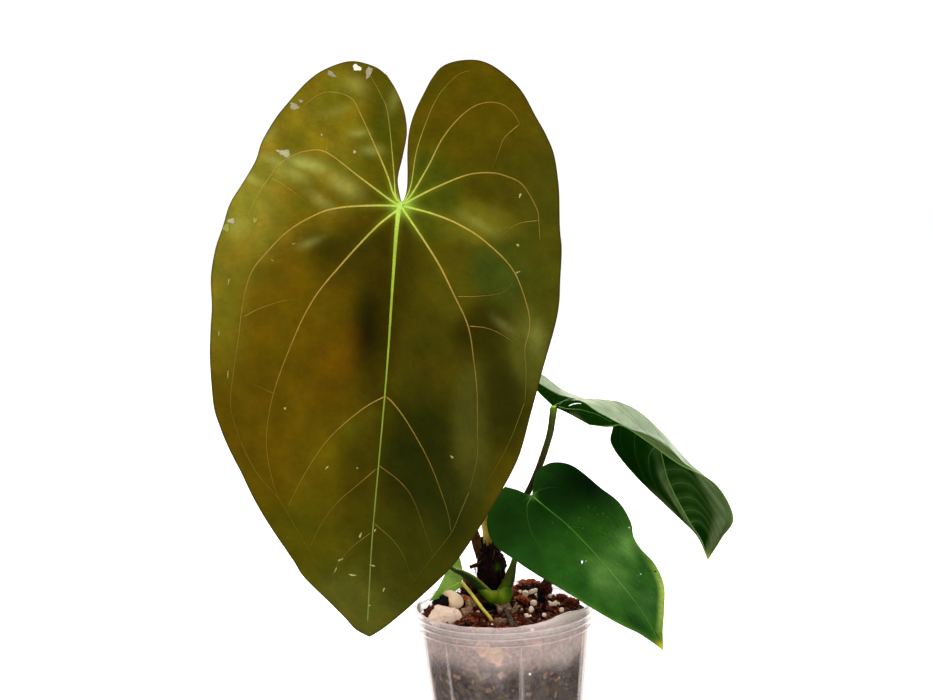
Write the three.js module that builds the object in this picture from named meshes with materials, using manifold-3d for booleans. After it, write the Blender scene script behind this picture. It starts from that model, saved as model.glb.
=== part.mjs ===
// A potted anthurium hybrid: five leaves on their petioles, a short brown stem, and a bark mix
// in a thin clear nursery pot. Millimetres, +Z up, origin at the centre of the pot's flat base.
// The viewer stands on the -Y side, with +X to the right.
import * as THREE from 'three';
import { mergeVertices } from 'three/addons/utils/BufferGeometryUtils.js';
import Module from 'manifold-3d';

const wasm = await Module();
wasm.setup();

// Pot
const POT_HEIGHT = 88;
const BASE_RADIUS = 37.5;
const RIM_RADIUS = 47.5;
const WALL = 0.8;
const FLOOR = 1.4;
const BEAD_HEIGHTS = [77.3, 81, 84.5];
const BEAD_PROUD = 0.45;
const RIB_COUNT = 7;
const FIRST_RIB_DEG = 8.8;
const RIB_WIDTH = 1.2;
const RIB_TOP = 76;
const DRAIN_HOLES = 6;
const DRAIN_RADIUS = 3.5;
const DRAIN_CIRCLE = 26;
const ROUND_SIDES = 48;

// Potting mix
const MIX_LEVEL = 83.4;
const MOUND_HEIGHT = 5.5;
const MOUND = { x: 8, y: 16, spread: 17 };
const CHIP_COUNT = 50;

// Plant
const GAP = 0.3;
const LARGE_BLADE = 0.8;
const BLADE = 0.7;
const ROD_SIDES = 10;

const MATERIALS = {
  clearPlastic: { color: 0xcfc8cc, roughness: 0.35, metalness: 0 },
  bark: { color: 0x6b2f16, roughness: 0.95, metalness: 0 },
  pebbleCream: { color: 0xd9bf9c, roughness: 0.7, metalness: 0 },
  pumice: { color: 0xe6d6c4, roughness: 0.95, metalness: 0 },
  greyWood: { color: 0x6d5f4c, roughness: 0.9, metalness: 0 },
  brownStem: { color: 0x2a1208, roughness: 0.9, metalness: 0 },
  dryCataphyll: { color: 0x4a2410, roughness: 0.85, metalness: 0 },
  ochrePetiole: { color: 0x93801f, roughness: 0.5, metalness: 0 },
  greenPetiole: { color: 0x46641a, roughness: 0.45, metalness: 0 },
  darkPetiole: { color: 0x3a4312, roughness: 0.4, metalness: 0 },
  palePetiole: { color: 0xc4bd45, roughness: 0.5, metalness: 0 },
  bronzeBlade: { color: 0x5f5610, roughness: 0.45, metalness: 0 },
  limeVein: { color: 0xb5b23c, roughness: 0.5, metalness: 0 },
  greenBlade: { color: 0x1c4a12, roughness: 0.4, metalness: 0 },
  paleBlade: { color: 0x7da53c, roughness: 0.5, metalness: 0 },
};

// A mesh with its place baked in, named and finished.
function part(name, geometry, finish) {
  const mesh = new THREE.Mesh(geometry, new THREE.MeshStandardMaterial(MATERIALS[finish]));
  mesh.name = name;
  return mesh;
}

// The volume inside a closed triangle mesh: positive where its faces point out.
function signedVolume(position, index) {
  const corner = [new THREE.Vector3(), new THREE.Vector3(), new THREE.Vector3()];
  let sum = 0;
  for (let i = 0; i < index.count; i += 3) {
    corner.forEach((c, k) => c.fromBufferAttribute(position, index.getX(i + k)));
    sum += corner[0].dot(corner[1].cross(corner[2])) / 6;
  }
  return sum;
}

// Position and index only, with shared corners merged and the faces turned outwards.
function welded(geometry) {
  geometry.deleteAttribute('normal');
  geometry.deleteAttribute('uv');
  const merged = mergeVertices(geometry, 1e-4);
  if (signedVolume(merged.attributes.position, merged.index) < 0) {
    const order = merged.index.array;
    for (let i = 0; i < order.length; i += 3) {
      [order[i + 1], order[i + 2]] = [order[i + 2], order[i + 1]];
    }
  }
  return merged;
}

function toSolid(geometry) {
  const merged = welded(geometry);
  return new wasm.Manifold(new wasm.Mesh({
    numProp: 3,
    vertProperties: new Float32Array(merged.attributes.position.array),
    triVerts: new Uint32Array(merged.index.array),
  }));
}

function toGeometry(solid) {
  const mesh = solid.getMesh();
  const geometry = new THREE.BufferGeometry();
  geometry.setAttribute('position', new THREE.BufferAttribute(mesh.vertProperties, 3));
  geometry.setIndex(new THREE.BufferAttribute(mesh.triVerts, 1));
  return geometry;
}

// A repeatable random draw between 0 and 1.
function seeded(seed) {
  let state = seed;
  return () => {
    state = (state * 1664525 + 1013904223) % 4294967296;
    return state / 4294967296;
  };
}

// A smooth curve through evenly numbered points: at is 0 at the first and n - 1 at the last.
function through(points, at) {
  const last = points.length - 1;
  const k = Math.min(Math.floor(at), last - 1);
  const f = at - k;
  const extend = (a, b) => a.map((value, axis) => 2 * value - b[axis]);
  const before = k > 0 ? points[k - 1] : extend(points[0], points[1]);
  const after = k + 2 <= last ? points[k + 2] : extend(points[last], points[last - 1]);
  const start = points[k];
  const end = points[k + 1];
  return start.map((value, axis) => 0.5 * (
    2 * value + (end[axis] - before[axis]) * f
    + (2 * before[axis] - 5 * value + 4 * end[axis] - after[axis]) * f * f
    + (3 * value - before[axis] - 3 * end[axis] + after[axis]) * f * f * f));
}

// A round rod along a smooth path. Each path point is [x, y, z, radius].
function rod(path, { steps = 16, sides = ROD_SIDES, grow = 0 } = {}) {
  const rings = [];
  let side = null;
  for (let i = 0; i <= steps; i += 1) {
    const at = (i / steps) * (path.length - 1);
    const here = through(path, at);
    const ahead = through(path, Math.min(at + 0.01, path.length - 1));
    const behind = through(path, Math.max(at - 0.01, 0));
    const along = new THREE.Vector3(...ahead.slice(0, 3))
      .sub(new THREE.Vector3(...behind.slice(0, 3))).normalize();
    side = side ?? new THREE.Vector3(1, 0, 0);
    side = side.clone().addScaledVector(along, -side.dot(along)).normalize();
    const up = along.clone().cross(side);
    const centre = new THREE.Vector3(...here.slice(0, 3));
    rings.push(Array.from({ length: sides }, (_, k) => {
      const turn = (2 * Math.PI * k) / sides;
      return centre.clone()
        .addScaledVector(side, (here[3] + grow) * Math.cos(turn))
        .addScaledVector(up, (here[3] + grow) * Math.sin(turn));
    }));
  }
  const first = new THREE.Vector3(...path[0].slice(0, 3));
  const final = new THREE.Vector3(...path[path.length - 1].slice(0, 3));
  return closedRings(rings, first, final);
}

// Joins rings of equal size into a closed skin, with a fan at each end.
function closedRings(rings, first, final) {
  const sides = rings[0].length;
  const points = [...rings.flat(), first, final];
  const faces = [];
  for (let i = 0; i + 1 < rings.length; i += 1) {
    for (let k = 0; k < sides; k += 1) {
      const a = i * sides + k;
      const b = i * sides + ((k + 1) % sides);
      faces.push(a, b, b + sides, a, b + sides, a + sides);
    }
  }
  const end = (rings.length - 1) * sides;
  for (let k = 0; k < sides; k += 1) {
    const next = (k + 1) % sides;
    faces.push(rings.length * sides, next, k);
    faces.push(rings.length * sides + 1, end + k, end + next);
  }
  const geometry = new THREE.BufferGeometry().setFromPoints(points);
  geometry.setIndex(faces);
  return geometry;
}

// The pot's outer radius at a height: a plain cone from the base to the rim.
const potRadius = (z) => BASE_RADIUS + ((RIM_RADIUS - BASE_RADIUS) * z) / POT_HEIGHT;

// A thin cone with a flat floor, three small beads below the rim, upright ribs and drain holes.
function potBody() {
  const outer = [[0, 0], [BASE_RADIUS - 1, 0], [potRadius(1.2), 1.2]];
  for (const z of BEAD_HEIGHTS) {
    outer.push([potRadius(z) - 0.1, z - 1]);
    outer.push([potRadius(z) + BEAD_PROUD, z]);
    outer.push([potRadius(z) - 0.1, z + 1]);
  }
  outer.push([RIM_RADIUS + 0.1, POT_HEIGHT - 1.6], [RIM_RADIUS, POT_HEIGHT]);
  const inner = [
    [RIM_RADIUS - 1.2, POT_HEIGHT],
    [potRadius(POT_HEIGHT - 3) - WALL, POT_HEIGHT - 3],
    [potRadius(FLOOR) - WALL, FLOOR],
    [0, FLOOR],
  ];
  const profile = [...outer, ...inner].map(([r, z]) => new THREE.Vector2(r, z));
  let solid = toSolid(new THREE.LatheGeometry(profile, ROUND_SIDES).rotateX(Math.PI / 2));
  for (let i = 0; i < RIB_COUNT; i += 1) {
    solid = solid.add(toSolid(potRib(i)));
  }
  for (let i = 0; i < DRAIN_HOLES; i += 1) {
    const turn = (2 * Math.PI * i) / DRAIN_HOLES;
    const hole = new THREE.CylinderGeometry(DRAIN_RADIUS, DRAIN_RADIUS, 4 * FLOOR, 12)
      .rotateX(Math.PI / 2)
      .translate(DRAIN_CIRCLE * Math.cos(turn), DRAIN_CIRCLE * Math.sin(turn), 0);
    solid = solid.subtract(toSolid(hole));
  }
  return toGeometry(solid);
}

// One upright rib on the wall, counted from the viewer's side towards the right.
function potRib(i) {
  const low = 3;
  const length = RIB_TOP - low;
  const lean = Math.atan2(RIM_RADIUS - BASE_RADIUS, POT_HEIGHT);
  const middle = low + length / 2;
  const turn = THREE.MathUtils.degToRad(FIRST_RIB_DEG + (360 / RIB_COUNT) * i);
  return new THREE.BoxGeometry(RIB_WIDTH, 1, length).rotateX(lean)
    .translate(0, -potRadius(middle) - 0.05, middle).rotateZ(turn);
}

// The height of the potting mix: a low mound behind the stem, and a little unevenness.
function mixHeight(x, y) {
  const away = ((x - MOUND.x) ** 2 + (y - MOUND.y) ** 2) / (2 * MOUND.spread ** 2);
  const uneven = 0.7 * Math.sin(0.31 * x + 1.2) * Math.cos(0.27 * y) + 0.5 * Math.sin(0.5 * y - 0.4 * x);
  return MIX_LEVEL + MOUND_HEIGHT * Math.exp(-away) - 0.03 * x + uneven;
}

// The mix without its loose chips: an uneven top over the shape of the pot's inside.
function mixBed() {
  const rings = 6;
  const around = 32;
  const inside = (z) => potRadius(z) - WALL - GAP - 0.1;
  const points = [new THREE.Vector3(0, 0, mixHeight(0, 0))];
  for (let i = 1; i <= rings; i += 1) {
    for (let k = 0; k < around; k += 1) {
      const turn = (2 * Math.PI * k) / around;
      const r = (inside(MIX_LEVEL - 2) * i) / rings;
      const x = r * Math.cos(turn);
      const y = r * Math.sin(turn);
      points.push(new THREE.Vector3(x, y, mixHeight(x, y)));
    }
  }
  const low = FLOOR + GAP;
  for (let k = 0; k < around; k += 1) {
    const turn = (2 * Math.PI * k) / around;
    points.push(new THREE.Vector3(inside(low) * Math.cos(turn), inside(low) * Math.sin(turn), low));
  }
  points.push(new THREE.Vector3(0, 0, low));
  const faces = [];
  const ring = (i, k) => 1 + (i - 1) * around + (k % around);
  for (let k = 0; k < around; k += 1) {
    faces.push(0, ring(1, k), ring(1, k + 1));
    for (let i = 1; i <= rings; i += 1) {
      faces.push(ring(i, k), ring(i + 1, k), ring(i + 1, k + 1));
      faces.push(ring(i, k), ring(i + 1, k + 1), ring(i, k + 1));
    }
    faces.push(points.length - 1, ring(rings + 1, k + 1), ring(rings + 1, k));
  }
  const geometry = new THREE.BufferGeometry().setFromPoints(points);
  geometry.setIndex(faces);
  return geometry;
}

// One flat, split piece of bark, turned at random.
function barkChip(draw, x, y) {
  const size = [7 + 6 * draw(), 5 + 4 * draw(), 2 + 2.4 * draw()];
  const turn = new THREE.Euler(1.3 * (draw() - 0.5), 1.3 * (draw() - 0.5), 2 * Math.PI * draw());
  const lift = 0.2 + 1.6 * draw();
  return new THREE.BoxGeometry(...size)
    .applyMatrix4(new THREE.Matrix4().makeRotationFromEuler(turn))
    .translate(x, y, mixHeight(x, y) + lift);
}

// The bark mix: its bed and chips as one body, inside the pot, with a plain hole for each stem.
function pottingMix(stems) {
  const draw = seeded(7);
  let solid = toSolid(mixBed());
  const reach = potRadius(MIX_LEVEL) - 6;
  for (let i = 0; i < CHIP_COUNT; i += 1) {
    const r = reach * Math.sqrt((i + 0.5) / CHIP_COUNT);
    const turn = i * 2.39996;
    solid = solid.add(toSolid(barkChip(draw, r * Math.cos(turn), r * Math.sin(turn))));
  }
  const room = [
    [0, FLOOR + GAP], [potRadius(FLOOR) - WALL - GAP, FLOOR + GAP],
    [potRadius(POT_HEIGHT - 3) - WALL - GAP, POT_HEIGHT - 3], [RIM_RADIUS - 1.6, POT_HEIGHT],
    [RIM_RADIUS - 1.6, POT_HEIGHT + 12], [0, POT_HEIGHT + 12],
  ].map(([r, z]) => new THREE.Vector2(r, z));
  solid = solid.intersect(toSolid(new THREE.LatheGeometry(room, ROUND_SIDES).rotateX(Math.PI / 2)));
  for (const stem of stems) {
    solid = solid.subtract(toSolid(stem));
  }
  const whole = solid.decompose().sort((a, b) => b.volume() - a.volume())[0];
  return toGeometry(whole);
}

// A water-worn stone: an uneven ball, stretched, turned and set down at its place.
function stone({ at, size, turn, rough, detail, grow = 0 }) {
  const ball = mergeVertices(new THREE.IcosahedronGeometry(1, detail).deleteAttribute('normal')
    .deleteAttribute('uv'));
  const p = ball.attributes.position;
  for (let i = 0; i < p.count; i += 1) {
    const [x, y, z] = [p.getX(i), p.getY(i), p.getZ(i)];
    const bump = 1 + rough * Math.sin(5 * x + 2 * y + 1) * Math.cos(4 * z - 3 * y);
    p.setXYZ(i, x * (size[0] * bump + grow), y * (size[1] * bump + grow), z * (size[2] * bump + grow));
  }
  return ball.applyMatrix4(new THREE.Matrix4().makeRotationFromEuler(new THREE.Euler(...turn)))
    .translate(...at);
}

const PEBBLE = {
  at: [-27.3, -9.5, 89.8], size: [6.6, 5, 4.9], turn: [0, 0.75, 0.1], rough: 0.03, detail: 2,
};
const PUMICE = {
  at: [-30.3, -20.8, 87.4], size: [6.8, 5.4, 4.6], turn: [0.2, -0.3, 0.5], rough: 0.16, detail: 2,
};

// Half a leaf's plan: inner line from the lobe's top down the notch, and outer line to the tip.
// shoulder is the number of the outer point that lies level with the petiole.
const LARGE_LEAF = {
  junction: [-43.1, -42, 302.7],
  down: [-0.118, -0.118, -0.986],
  across: [0.993, -0.014, -0.117],
  thickness: LARGE_BLADE,
  midrib: [[0, 0], [-1.5, 12], [-1.5, 60], [-1.2, 110], [-1.8, 160], [-1, 195], [0, 213]],
  left: {
    notch: [[-12, -63.5], [-7.5, -57], [-3.2, -48.5], [-1.8, -36], [-2.5, -24], [-3, -12], [0, 0]],
    margin: [
      [-12, -63.5], [-19.5, -68.5], [-31, -69.5], [-43, -65], [-56.5, -53.5], [-66, -38.5],
      [-74, -18.5], [-86.5, 9], [-92.5, 32.5], [-92, 56.5], [-89, 84], [-81.5, 116.5],
      [-70, 137.5], [-52.5, 163], [-33.5, 186.5], [-11.5, 204.5], [0, 213],
    ],
    shoulder: 7,
  },
  right: {
    notch: [[9, -63], [3.8, -48.5], [1, -38], [0.6, -27], [1.5, -15], [1.6, -7], [0, 0]],
    margin: [
      [9, -63], [13, -69], [25, -75], [37, -74.5], [54, -62.5], [68.5, -41], [77, -14.5],
      [80, 15.5], [79.5, 54], [73.5, 87], [66.5, 121.5], [55, 147], [38, 176.5], [23, 193.5],
      [10, 206], [0, 213],
    ],
    shoulder: 7,
  },
  // Margins bend back, the tip and lobes a little too, and the edge waves.
  form(u, v) {
    const edge = ((u / 88) ** 2 + ((v - 70) / 142) ** 2) ** 2;
    const wave = 1.5 * Math.sin(6 * Math.atan2(v - 70, 1.6 * u) + 0.6) * Math.min(edge, 1.2);
    return 2.3 - 0.0011 * u * u - 0.00028 * (v - 90) ** 2 + wave;
  },
};

const FRONT_LEAF = {
  junction: [16.4, -20, 149.3],
  down: [0.61, -0.243, -0.754],
  across: [0.705, 0.598, 0.379],
  thickness: BLADE,
  midrib: [[0, 0], [1.5, 16], [4, 35], [5.2, 56], [4.2, 80], [1, 103]],
  left: {
    notch: [[-8, -12.5], [-4.5, -8], [-2, -3.5], [0, 0]],
    margin: [
      [-8, -12.5], [-15, -11.5], [-24, -8], [-31, -1.5], [-34.5, 9], [-31.5, 23], [-25.5, 39],
      [-20, 54.5], [-14, 69.5], [-3.5, 89], [1, 103],
    ],
    shoulder: 4,
  },
  right: {
    notch: [[17, -9], [12, -8], [6.5, -5], [0, 0]],
    margin: [
      [17, -9], [24, -7.5], [30.5, -2.5], [34.5, 6], [38, 18], [39.5, 30], [36.5, 43], [32, 49.5],
      [31, 57], [31.5, 66], [27, 78], [17.5, 87.5], [8, 95.5], [1, 103],
    ],
    shoulder: 3,
  },
  form(u, v) {
    const wave = 1.1 * Math.sin(0.16 * v + 0.05 * u) * Math.min((u / 36) ** 2, 1.2);
    return 1.8 - 0.0022 * u * u - 0.0009 * (v - 45) ** 2 + wave;
  },
};

const LEFT_LEAF = {
  junction: [-86, 24, 177],
  down: [0.02, -0.25, -0.968],
  across: [0.86, -0.5, 0.05],
  thickness: BLADE,
  midrib: [[0, 0], [0, 25], [0.5, 50], [0, 76]],
  left: {
    notch: [[-9, -14], [-4, -9], [-1.2, -4], [0, 0]],
    margin: [[-9, -14], [-18, -13], [-27, -3], [-30, 13], [-26, 33], [-16, 54], [-6, 69], [0, 76]],
    shoulder: 3,
  },
  right: {
    notch: [[9, -14], [4, -9], [1.2, -4], [0, 0]],
    margin: [[9, -14], [18, -13], [27, -4], [30, 12], [27, 32], [17, 54], [6, 69], [0, 76]],
    shoulder: 3,
  },
  form(u, v) {
    const wave = 0.9 * Math.sin(0.2 * v + 1) * Math.min((u / 28) ** 2, 1.2);
    return 1.2 - 0.003 * u * u - 0.0014 * (v - 30) ** 2 + wave;
  },
};

const SMALL_LEAF = {
  junction: [-24, -4, 101.2],
  down: [-0.804, -0.502, -0.319],
  across: [-0.522, 0.34, 0.783],
  thickness: 0.6,
  midrib: [[0, 0], [0.4, 6], [0.4, 13], [0, 20]],
  left: {
    notch: [[-4, -3.5], [-2, -2.2], [-0.8, -1], [0, 0]],
    margin: [[-4, -3.5], [-5.5, -1.5], [-5.5, 2.5], [-4, 8], [-2, 14], [0, 20]],
    shoulder: 2,
  },
  right: {
    notch: [[8, -8.5], [4, -6.5], [1.2, -3], [0, 0]],
    margin: [[8, -8.5], [12, -9], [14, -5], [11.5, 0], [7, 7], [3, 14], [0, 20]],
    shoulder: 3,
  },
  form(u, v) {
    return -0.03 * Math.min(u, 0) ** 2 - 0.006 * u * u + 0.004 * (v - 8) ** 2;
  },
};

// The leaf on the right arches away and hangs at its far end, so it is set out by cross rows.
// Each row runs from the far edge to the near edge: edge, mid half, midrib, crest, fold, edge.
const ARCHED_LEAF = {
  thickness: BLADE,
  farLobe: [15, 30, 207],
  nearLobe: [48, -6, 183],
  farNotch: [23, 20, 198],
  nearNotch: [39, 5, 190],
  lobeRow: { far: [[25, 33, 201], [26, 44, 204]], near: [[43, 3, 190], [49, 0, 187], [56, -3, 181]] },
  rows: [
    [[39, 62, 192], [36, 38, 194], [31, 15, 190], [46, 26, 191], [55, 10, 187], [61, 2, 180]],
    [[57, 82, 184], [54, 62, 186], [52, 40, 188], [63, 38, 188], [68, 18, 179], [68, 14, 178]],
    [[69, 95, 166], [71, 80, 177], [73, 55, 183], [80, 42, 180], [82, 27, 171], [82, 23, 167]],
    [[68, 93, 154], [78, 86, 161], [91, 66, 162], [96, 52, 163], [101, 36, 154], [99, 31, 153]],
    [[81, 84, 136], [90, 80, 137], [98, 67, 136], [107, 60, 144], [113, 46, 143], [120, 38, 139]],
    [[102, 74, 115], [105, 71, 115], [108, 65, 114], [115, 64, 119], [121, 58, 119], [130, 50, 118]],
    [[113, 66, 104], [114, 64, 103], [115, 62, 102], [117, 61, 103], [120, 60, 102], [124, 57, 102]],
  ],
  tip: [118, 59, 92],
};

// The leaf's own axes: down its midrib, across it, and out of its upper face.
function leafAxes(leaf) {
  const down = new THREE.Vector3(...leaf.down).normalize();
  const across = new THREE.Vector3(...leaf.across);
  across.addScaledVector(down, -across.dot(down)).normalize();
  return { down, across, out: down.clone().cross(across) };
}

// A point of a leaf's plan, u across and v down from the petiole, set in space on its form.
function onLeaf(leaf, u, v, lift = 0) {
  const { down, across, out } = leafAxes(leaf);
  return new THREE.Vector3(...leaf.junction).addScaledVector(across, u).addScaledVector(down, v)
    .addScaledVector(out, leaf.form(u, v) + lift);
}

// Half a flat leaf as a grid of rungs between its inner and outer lines.
// s runs from 0 at the lobe's top through 1 at the petiole to 2 at the tip; t from 0 to 1 outwards.
function planHalf(leaf, half) {
  return (s, t) => {
    const lobe = s < 1;
    const inner = lobe
      ? through(half.notch, s * (half.notch.length - 1))
      : through(leaf.midrib, (s - 1) * (leaf.midrib.length - 1));
    const beyond = half.margin.length - 1 - half.shoulder;
    const outer = through(half.margin, lobe ? s * half.shoulder : half.shoulder + (s - 1) * beyond);
    const u = inner[0] + (outer[0] - inner[0]) * t;
    const v = inner[1] + (outer[1] - inner[1]) * t;
    return onLeaf(leaf, u, v);
  };
}

// Half of the arched leaf, from its cross rows, with the same s and t.
function rowHalf(leaf, columns, lobe, lobeRow, notch) {
  const column = (i) => [...leaf.rows.map((row) => row[i]), leaf.tip];
  const midrib = column(columns[0]);
  const edge = [lobe, notch, midrib[0]];
  const lines = columns.slice(1).map((i, k) => [lobe, lobeRow[k], ...column(i)]);
  return (s, t) => {
    const along = (s - 1) * (midrib.length - 1);
    const inner = s < 1 ? through(edge, 2 * s) : through(midrib, along);
    const row = [inner, ...lines.map((line) => through(line, s < 1 ? 2 * s : 2 + along))];
    return new THREE.Vector3(...through(row, t * (columns.length - 1)));
  };
}

// Lays the halves' grids side by side as one sheet: points, and triangles that share the midrib.
function sheet(halves, lobeRungs, bodyRungs, columns) {
  const points = [];
  const known = new Map();
  const number = (p) => {
    const key = p.toArray().map((value) => Math.round(value * 2000)).join();
    if (!known.has(key)) {
      known.set(key, points.length);
      points.push(p);
    }
    return known.get(key);
  };
  const faces = [];
  const face = (a, b, c) => {
    if (a !== b && b !== c && c !== a) {
      faces.push([a, b, c]);
    }
  };
  halves.forEach((half, which) => {
    const rungs = [];
    for (let i = 0; i <= lobeRungs + bodyRungs; i += 1) {
      const s = i < lobeRungs ? i / lobeRungs : 1 + (i - lobeRungs) / bodyRungs;
      rungs.push(Array.from({ length: columns + 1 }, (_, j) => number(half(s, j / columns))));
    }
    for (let i = 0; i + 1 < rungs.length; i += 1) {
      for (let j = 0; j < columns; j += 1) {
        const corners = [rungs[i][j], rungs[i][j + 1], rungs[i + 1][j + 1], rungs[i + 1][j]];
        const [a, b, c, d] = which === 0 ? corners : corners.reverse();
        face(a, b, c);
        face(a, c, d);
      }
    }
  });
  return { points, faces };
}

// Gives a sheet its thickness, with the same triangles on both faces and a strip round the edge.
function thickened({ points, faces }, thickness) {
  const normals = points.map(() => new THREE.Vector3());
  for (const [a, b, c] of faces) {
    const normal = points[b].clone().sub(points[a]).cross(points[c].clone().sub(points[a]));
    [a, b, c].forEach((i) => normals[i].add(normal));
  }
  const moved = (way) => points.map((p, i) => p.clone()
    .addScaledVector(normals[i].clone().normalize(), (way * thickness) / 2));
  const all = [...moved(1), ...moved(-1)];
  const count = points.length;
  const index = [];
  const open = new Set();
  for (const [a, b, c] of faces) {
    index.push(a, b, c, a + count, c + count, b + count);
    for (const [from, to] of [[a, b], [b, c], [c, a]]) {
      if (!open.delete(`${to},${from}`)) {
        open.add(`${from},${to}`);
      }
    }
  }
  for (const edge of open) {
    const [from, to] = edge.split(',').map(Number);
    index.push(from, from + count, to + count, from, to + count, to);
  }
  const geometry = new THREE.BufferGeometry().setFromPoints(all);
  geometry.setIndex(index);
  return welded(geometry);
}

// A whole blade; mesh gives its rungs in the lobes, rungs below the petiole, and columns a half.
function flatBlade(leaf, mesh, grow = 0) {
  const halves = [planHalf(leaf, leaf.left), planHalf(leaf, leaf.right)];
  return thickened(sheet(halves, ...mesh), leaf.thickness + 2 * grow);
}

function archedBlade(leaf, mesh, grow = 0) {
  const far = rowHalf(leaf, [2, 1, 0], leaf.farLobe, leaf.lobeRow.far, leaf.farNotch);
  const near = rowHalf(leaf, [2, 3, 4, 5], leaf.nearLobe, leaf.lobeRow.near, leaf.nearNotch);
  return thickened(sheet([far, near], ...mesh), leaf.thickness + 2 * grow);
}

// Veins of the large leaf in its plan: each starts at the petiole, or on another vein.
const LARGE_VEINS = [
  { width: 2.4, points: [[0, -2], [-1.5, 12], [-1.5, 60], [-1.2, 110], [-1.8, 160], [-1, 200]] },
  { width: 1, points: [[0, 0], [-5.5, -17.5], [-10.5, -44.5], [-19, -60.5]] },
  { width: 1.4, points: [[0, 0], [-8.5, -14.5], [-16, -29], [-26, -47], [-33.5, -53], [-43.5, -53]] },
  { width: 1.6, points: [[0, 0], [-21.5, -12], [-39.5, -23.5], [-50, -23.5], [-63.5, -15.5], [-72, -2]] },
  { width: 1.8, points: [[0, 0], [-30.5, 3.5], [-54.5, 16], [-72, 38.5], [-76, 71.5], [-77, 100]] },
  {
    width: 1.8,
    points: [[0, 0], [-12.5, 12.5], [-28, 32], [-41, 51.5], [-51, 78], [-58, 112], [-52, 143]],
  },
  { width: 1, points: [[0, 0], [5, -27], [8.5, -41.5], [17, -61]] },
  { width: 1.4, points: [[0, 0], [11.5, -20.5], [23.5, -44], [31, -51.5], [41, -55], [51, -50.5]] },
  { width: 1.6, points: [[0, 0], [16, -10], [31, -17.5], [42.5, -19.5], [58.5, -15], [67, 0]] },
  { width: 1.8, points: [[0, 0], [17, 3.5], [42, 14.5], [57, 27.5], [66, 48], [67, 76]] },
  { width: 1.8, points: [[0, 0], [10.5, 14.5], [28.5, 41.5], [41, 73], [45.5, 107.5], [46.5, 126]] },
  { width: 1.1, points: [[-1.2, 93], [-12.5, 102.5], [-27, 117.5], [-45, 153]] },
  { width: 1.1, points: [[-1.2, 93], [11.5, 107.5], [23.5, 126], [36, 157]] },
  { width: 1, points: [[-1.6, 129], [-20, 148], [-33, 172]] },
  { width: 1, points: [[-1.6, 127], [17.5, 146], [28, 169]] },
  { width: 0.9, points: [[-1.8, 161], [-11, 169.5], [-21, 187]] },
  { width: 0.9, points: [[-1.8, 156], [8, 165], [18.5, 184]] },
];

// One raised vein: a low ridge on the blade's face that thins towards its end.
function veinRidge({ width, points }) {
  const leaf = LARGE_LEAF;
  const { out } = leafAxes(leaf);
  const seat = leaf.thickness / 2 + GAP + 0.05;
  const steps = 2 * (points.length - 1);
  const rings = [];
  for (let i = 0; i <= steps; i += 1) {
    const at = (i / steps) * (points.length - 1);
    const [u, v] = through(points, at);
    const ahead = through(points, Math.min(at + 0.02, points.length - 1));
    const behind = through(points, Math.max(at - 0.02, 0));
    const foot = onLeaf(leaf, u, v, seat);
    const along = onLeaf(leaf, ...ahead).sub(onLeaf(leaf, ...behind)).normalize();
    const side = out.clone().cross(along).normalize();
    const half = (width / 2) * (1 - (0.55 * i) / steps);
    const height = 0.35 + 0.3 * half;
    rings.push([[-1, 0], [1, 0], [0.45, 1], [-0.45, 1]].map(([across, up]) => foot.clone()
      .addScaledVector(side, across * half).addScaledVector(out, up * height)));
  }
  const middle = (ring) => ring.reduce((sum, p) => sum.add(p), new THREE.Vector3())
    .divideScalar(ring.length);
  return closedRings(rings, middle(rings[0]), middle(rings[steps]));
}

function largeVeins() {
  const ridges = LARGE_VEINS.map((vein) => toSolid(veinRidge(vein)));
  return toGeometry(ridges.reduce((whole, ridge) => whole.add(ridge)));
}

// Paths of the stem and petioles, each point [x, y, z, radius], from the mix upwards.
const STEM = [
  [-4.5, 3.5, 62, 5.4], [-6, 3, 78, 6.6], [-6.8, 2, 95, 7.1], [-7, 1.2, 107, 6.8], [-6.6, 1, 114, 6.3],
  [-6.2, 1, 117.5, 5.4],
];
const STUB_ROOT = [[-9, 0, 107, 1.4], [-13.5, -2, 108.6, 1.3], [-17.8, -3, 106.8, 1]];
const CATAPHYLL = [
  [-10, 1, 110, 2.6], [-12.4, 0.6, 118, 2.8], [-14.2, 0.6, 126, 2.3], [-17.5, 1.2, 135, 1.5],
  [-20.5, 2.5, 142, 0.6],
];
const LARGE_PETIOLE = [
  [-7.6, 0.6, 110, 2.6], [-7.4, 0, 119, 2.5], [-7.9, -1, 130.6, 2.3], [-11.3, -3, 150, 2.2],
  [-18.4, -8, 183, 2.1], [-27.7, -17, 232, 2], [-36.8, -28, 274.5, 2], [-41, -34.5, 292, 2.3],
  [-42.6, -39, 299, 2.7], [-43, -41.6, 302.4, 2.4],
];
const BACK_PETIOLE = [
  [-3, 2.2, 111, 2], [-1.9, 3, 118, 2], [5.1, 5, 130.4, 1.9], [15.4, 8, 145.6, 1.8],
  [22.9, 11, 158.3, 1.8], [29.2, 14, 174, 1.8], [30.6, 15, 184, 1.9], [30.9, 15, 189.6, 1.9],
];
const FRONT_PETIOLE = [
  [-1.5, -5, 74, 3.6], [-1, -7, 83, 4.8], [0.6, -7.6, 91, 5.2], [3.9, -7.2, 99, 3.9],
  [6.2, -7.4, 107, 2.6], [8.4, -9, 115.5, 2.1], [12.9, -13, 132.7, 1.9], [15.2, -17, 143, 2],
  [16.2, -19.5, 148.7, 1.9],
];
const LEFT_PETIOLE = [
  [-7.5, -6, 76, 3.2], [-8.6, -7.4, 88, 3.5], [-11.5, -8, 96.4, 2.9], [-15.4, -8.6, 101.6, 2.4],
  [-21.6, -10, 106.9, 2.1], [-30, -11, 113.2, 2], [-42, -7, 123.5, 1.9], [-60, 6, 141, 1.9],
  [-76, 19.5, 161, 1.9], [-83.5, 25, 171.5, 2], [-85.6, 24.8, 176, 2],
];
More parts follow.
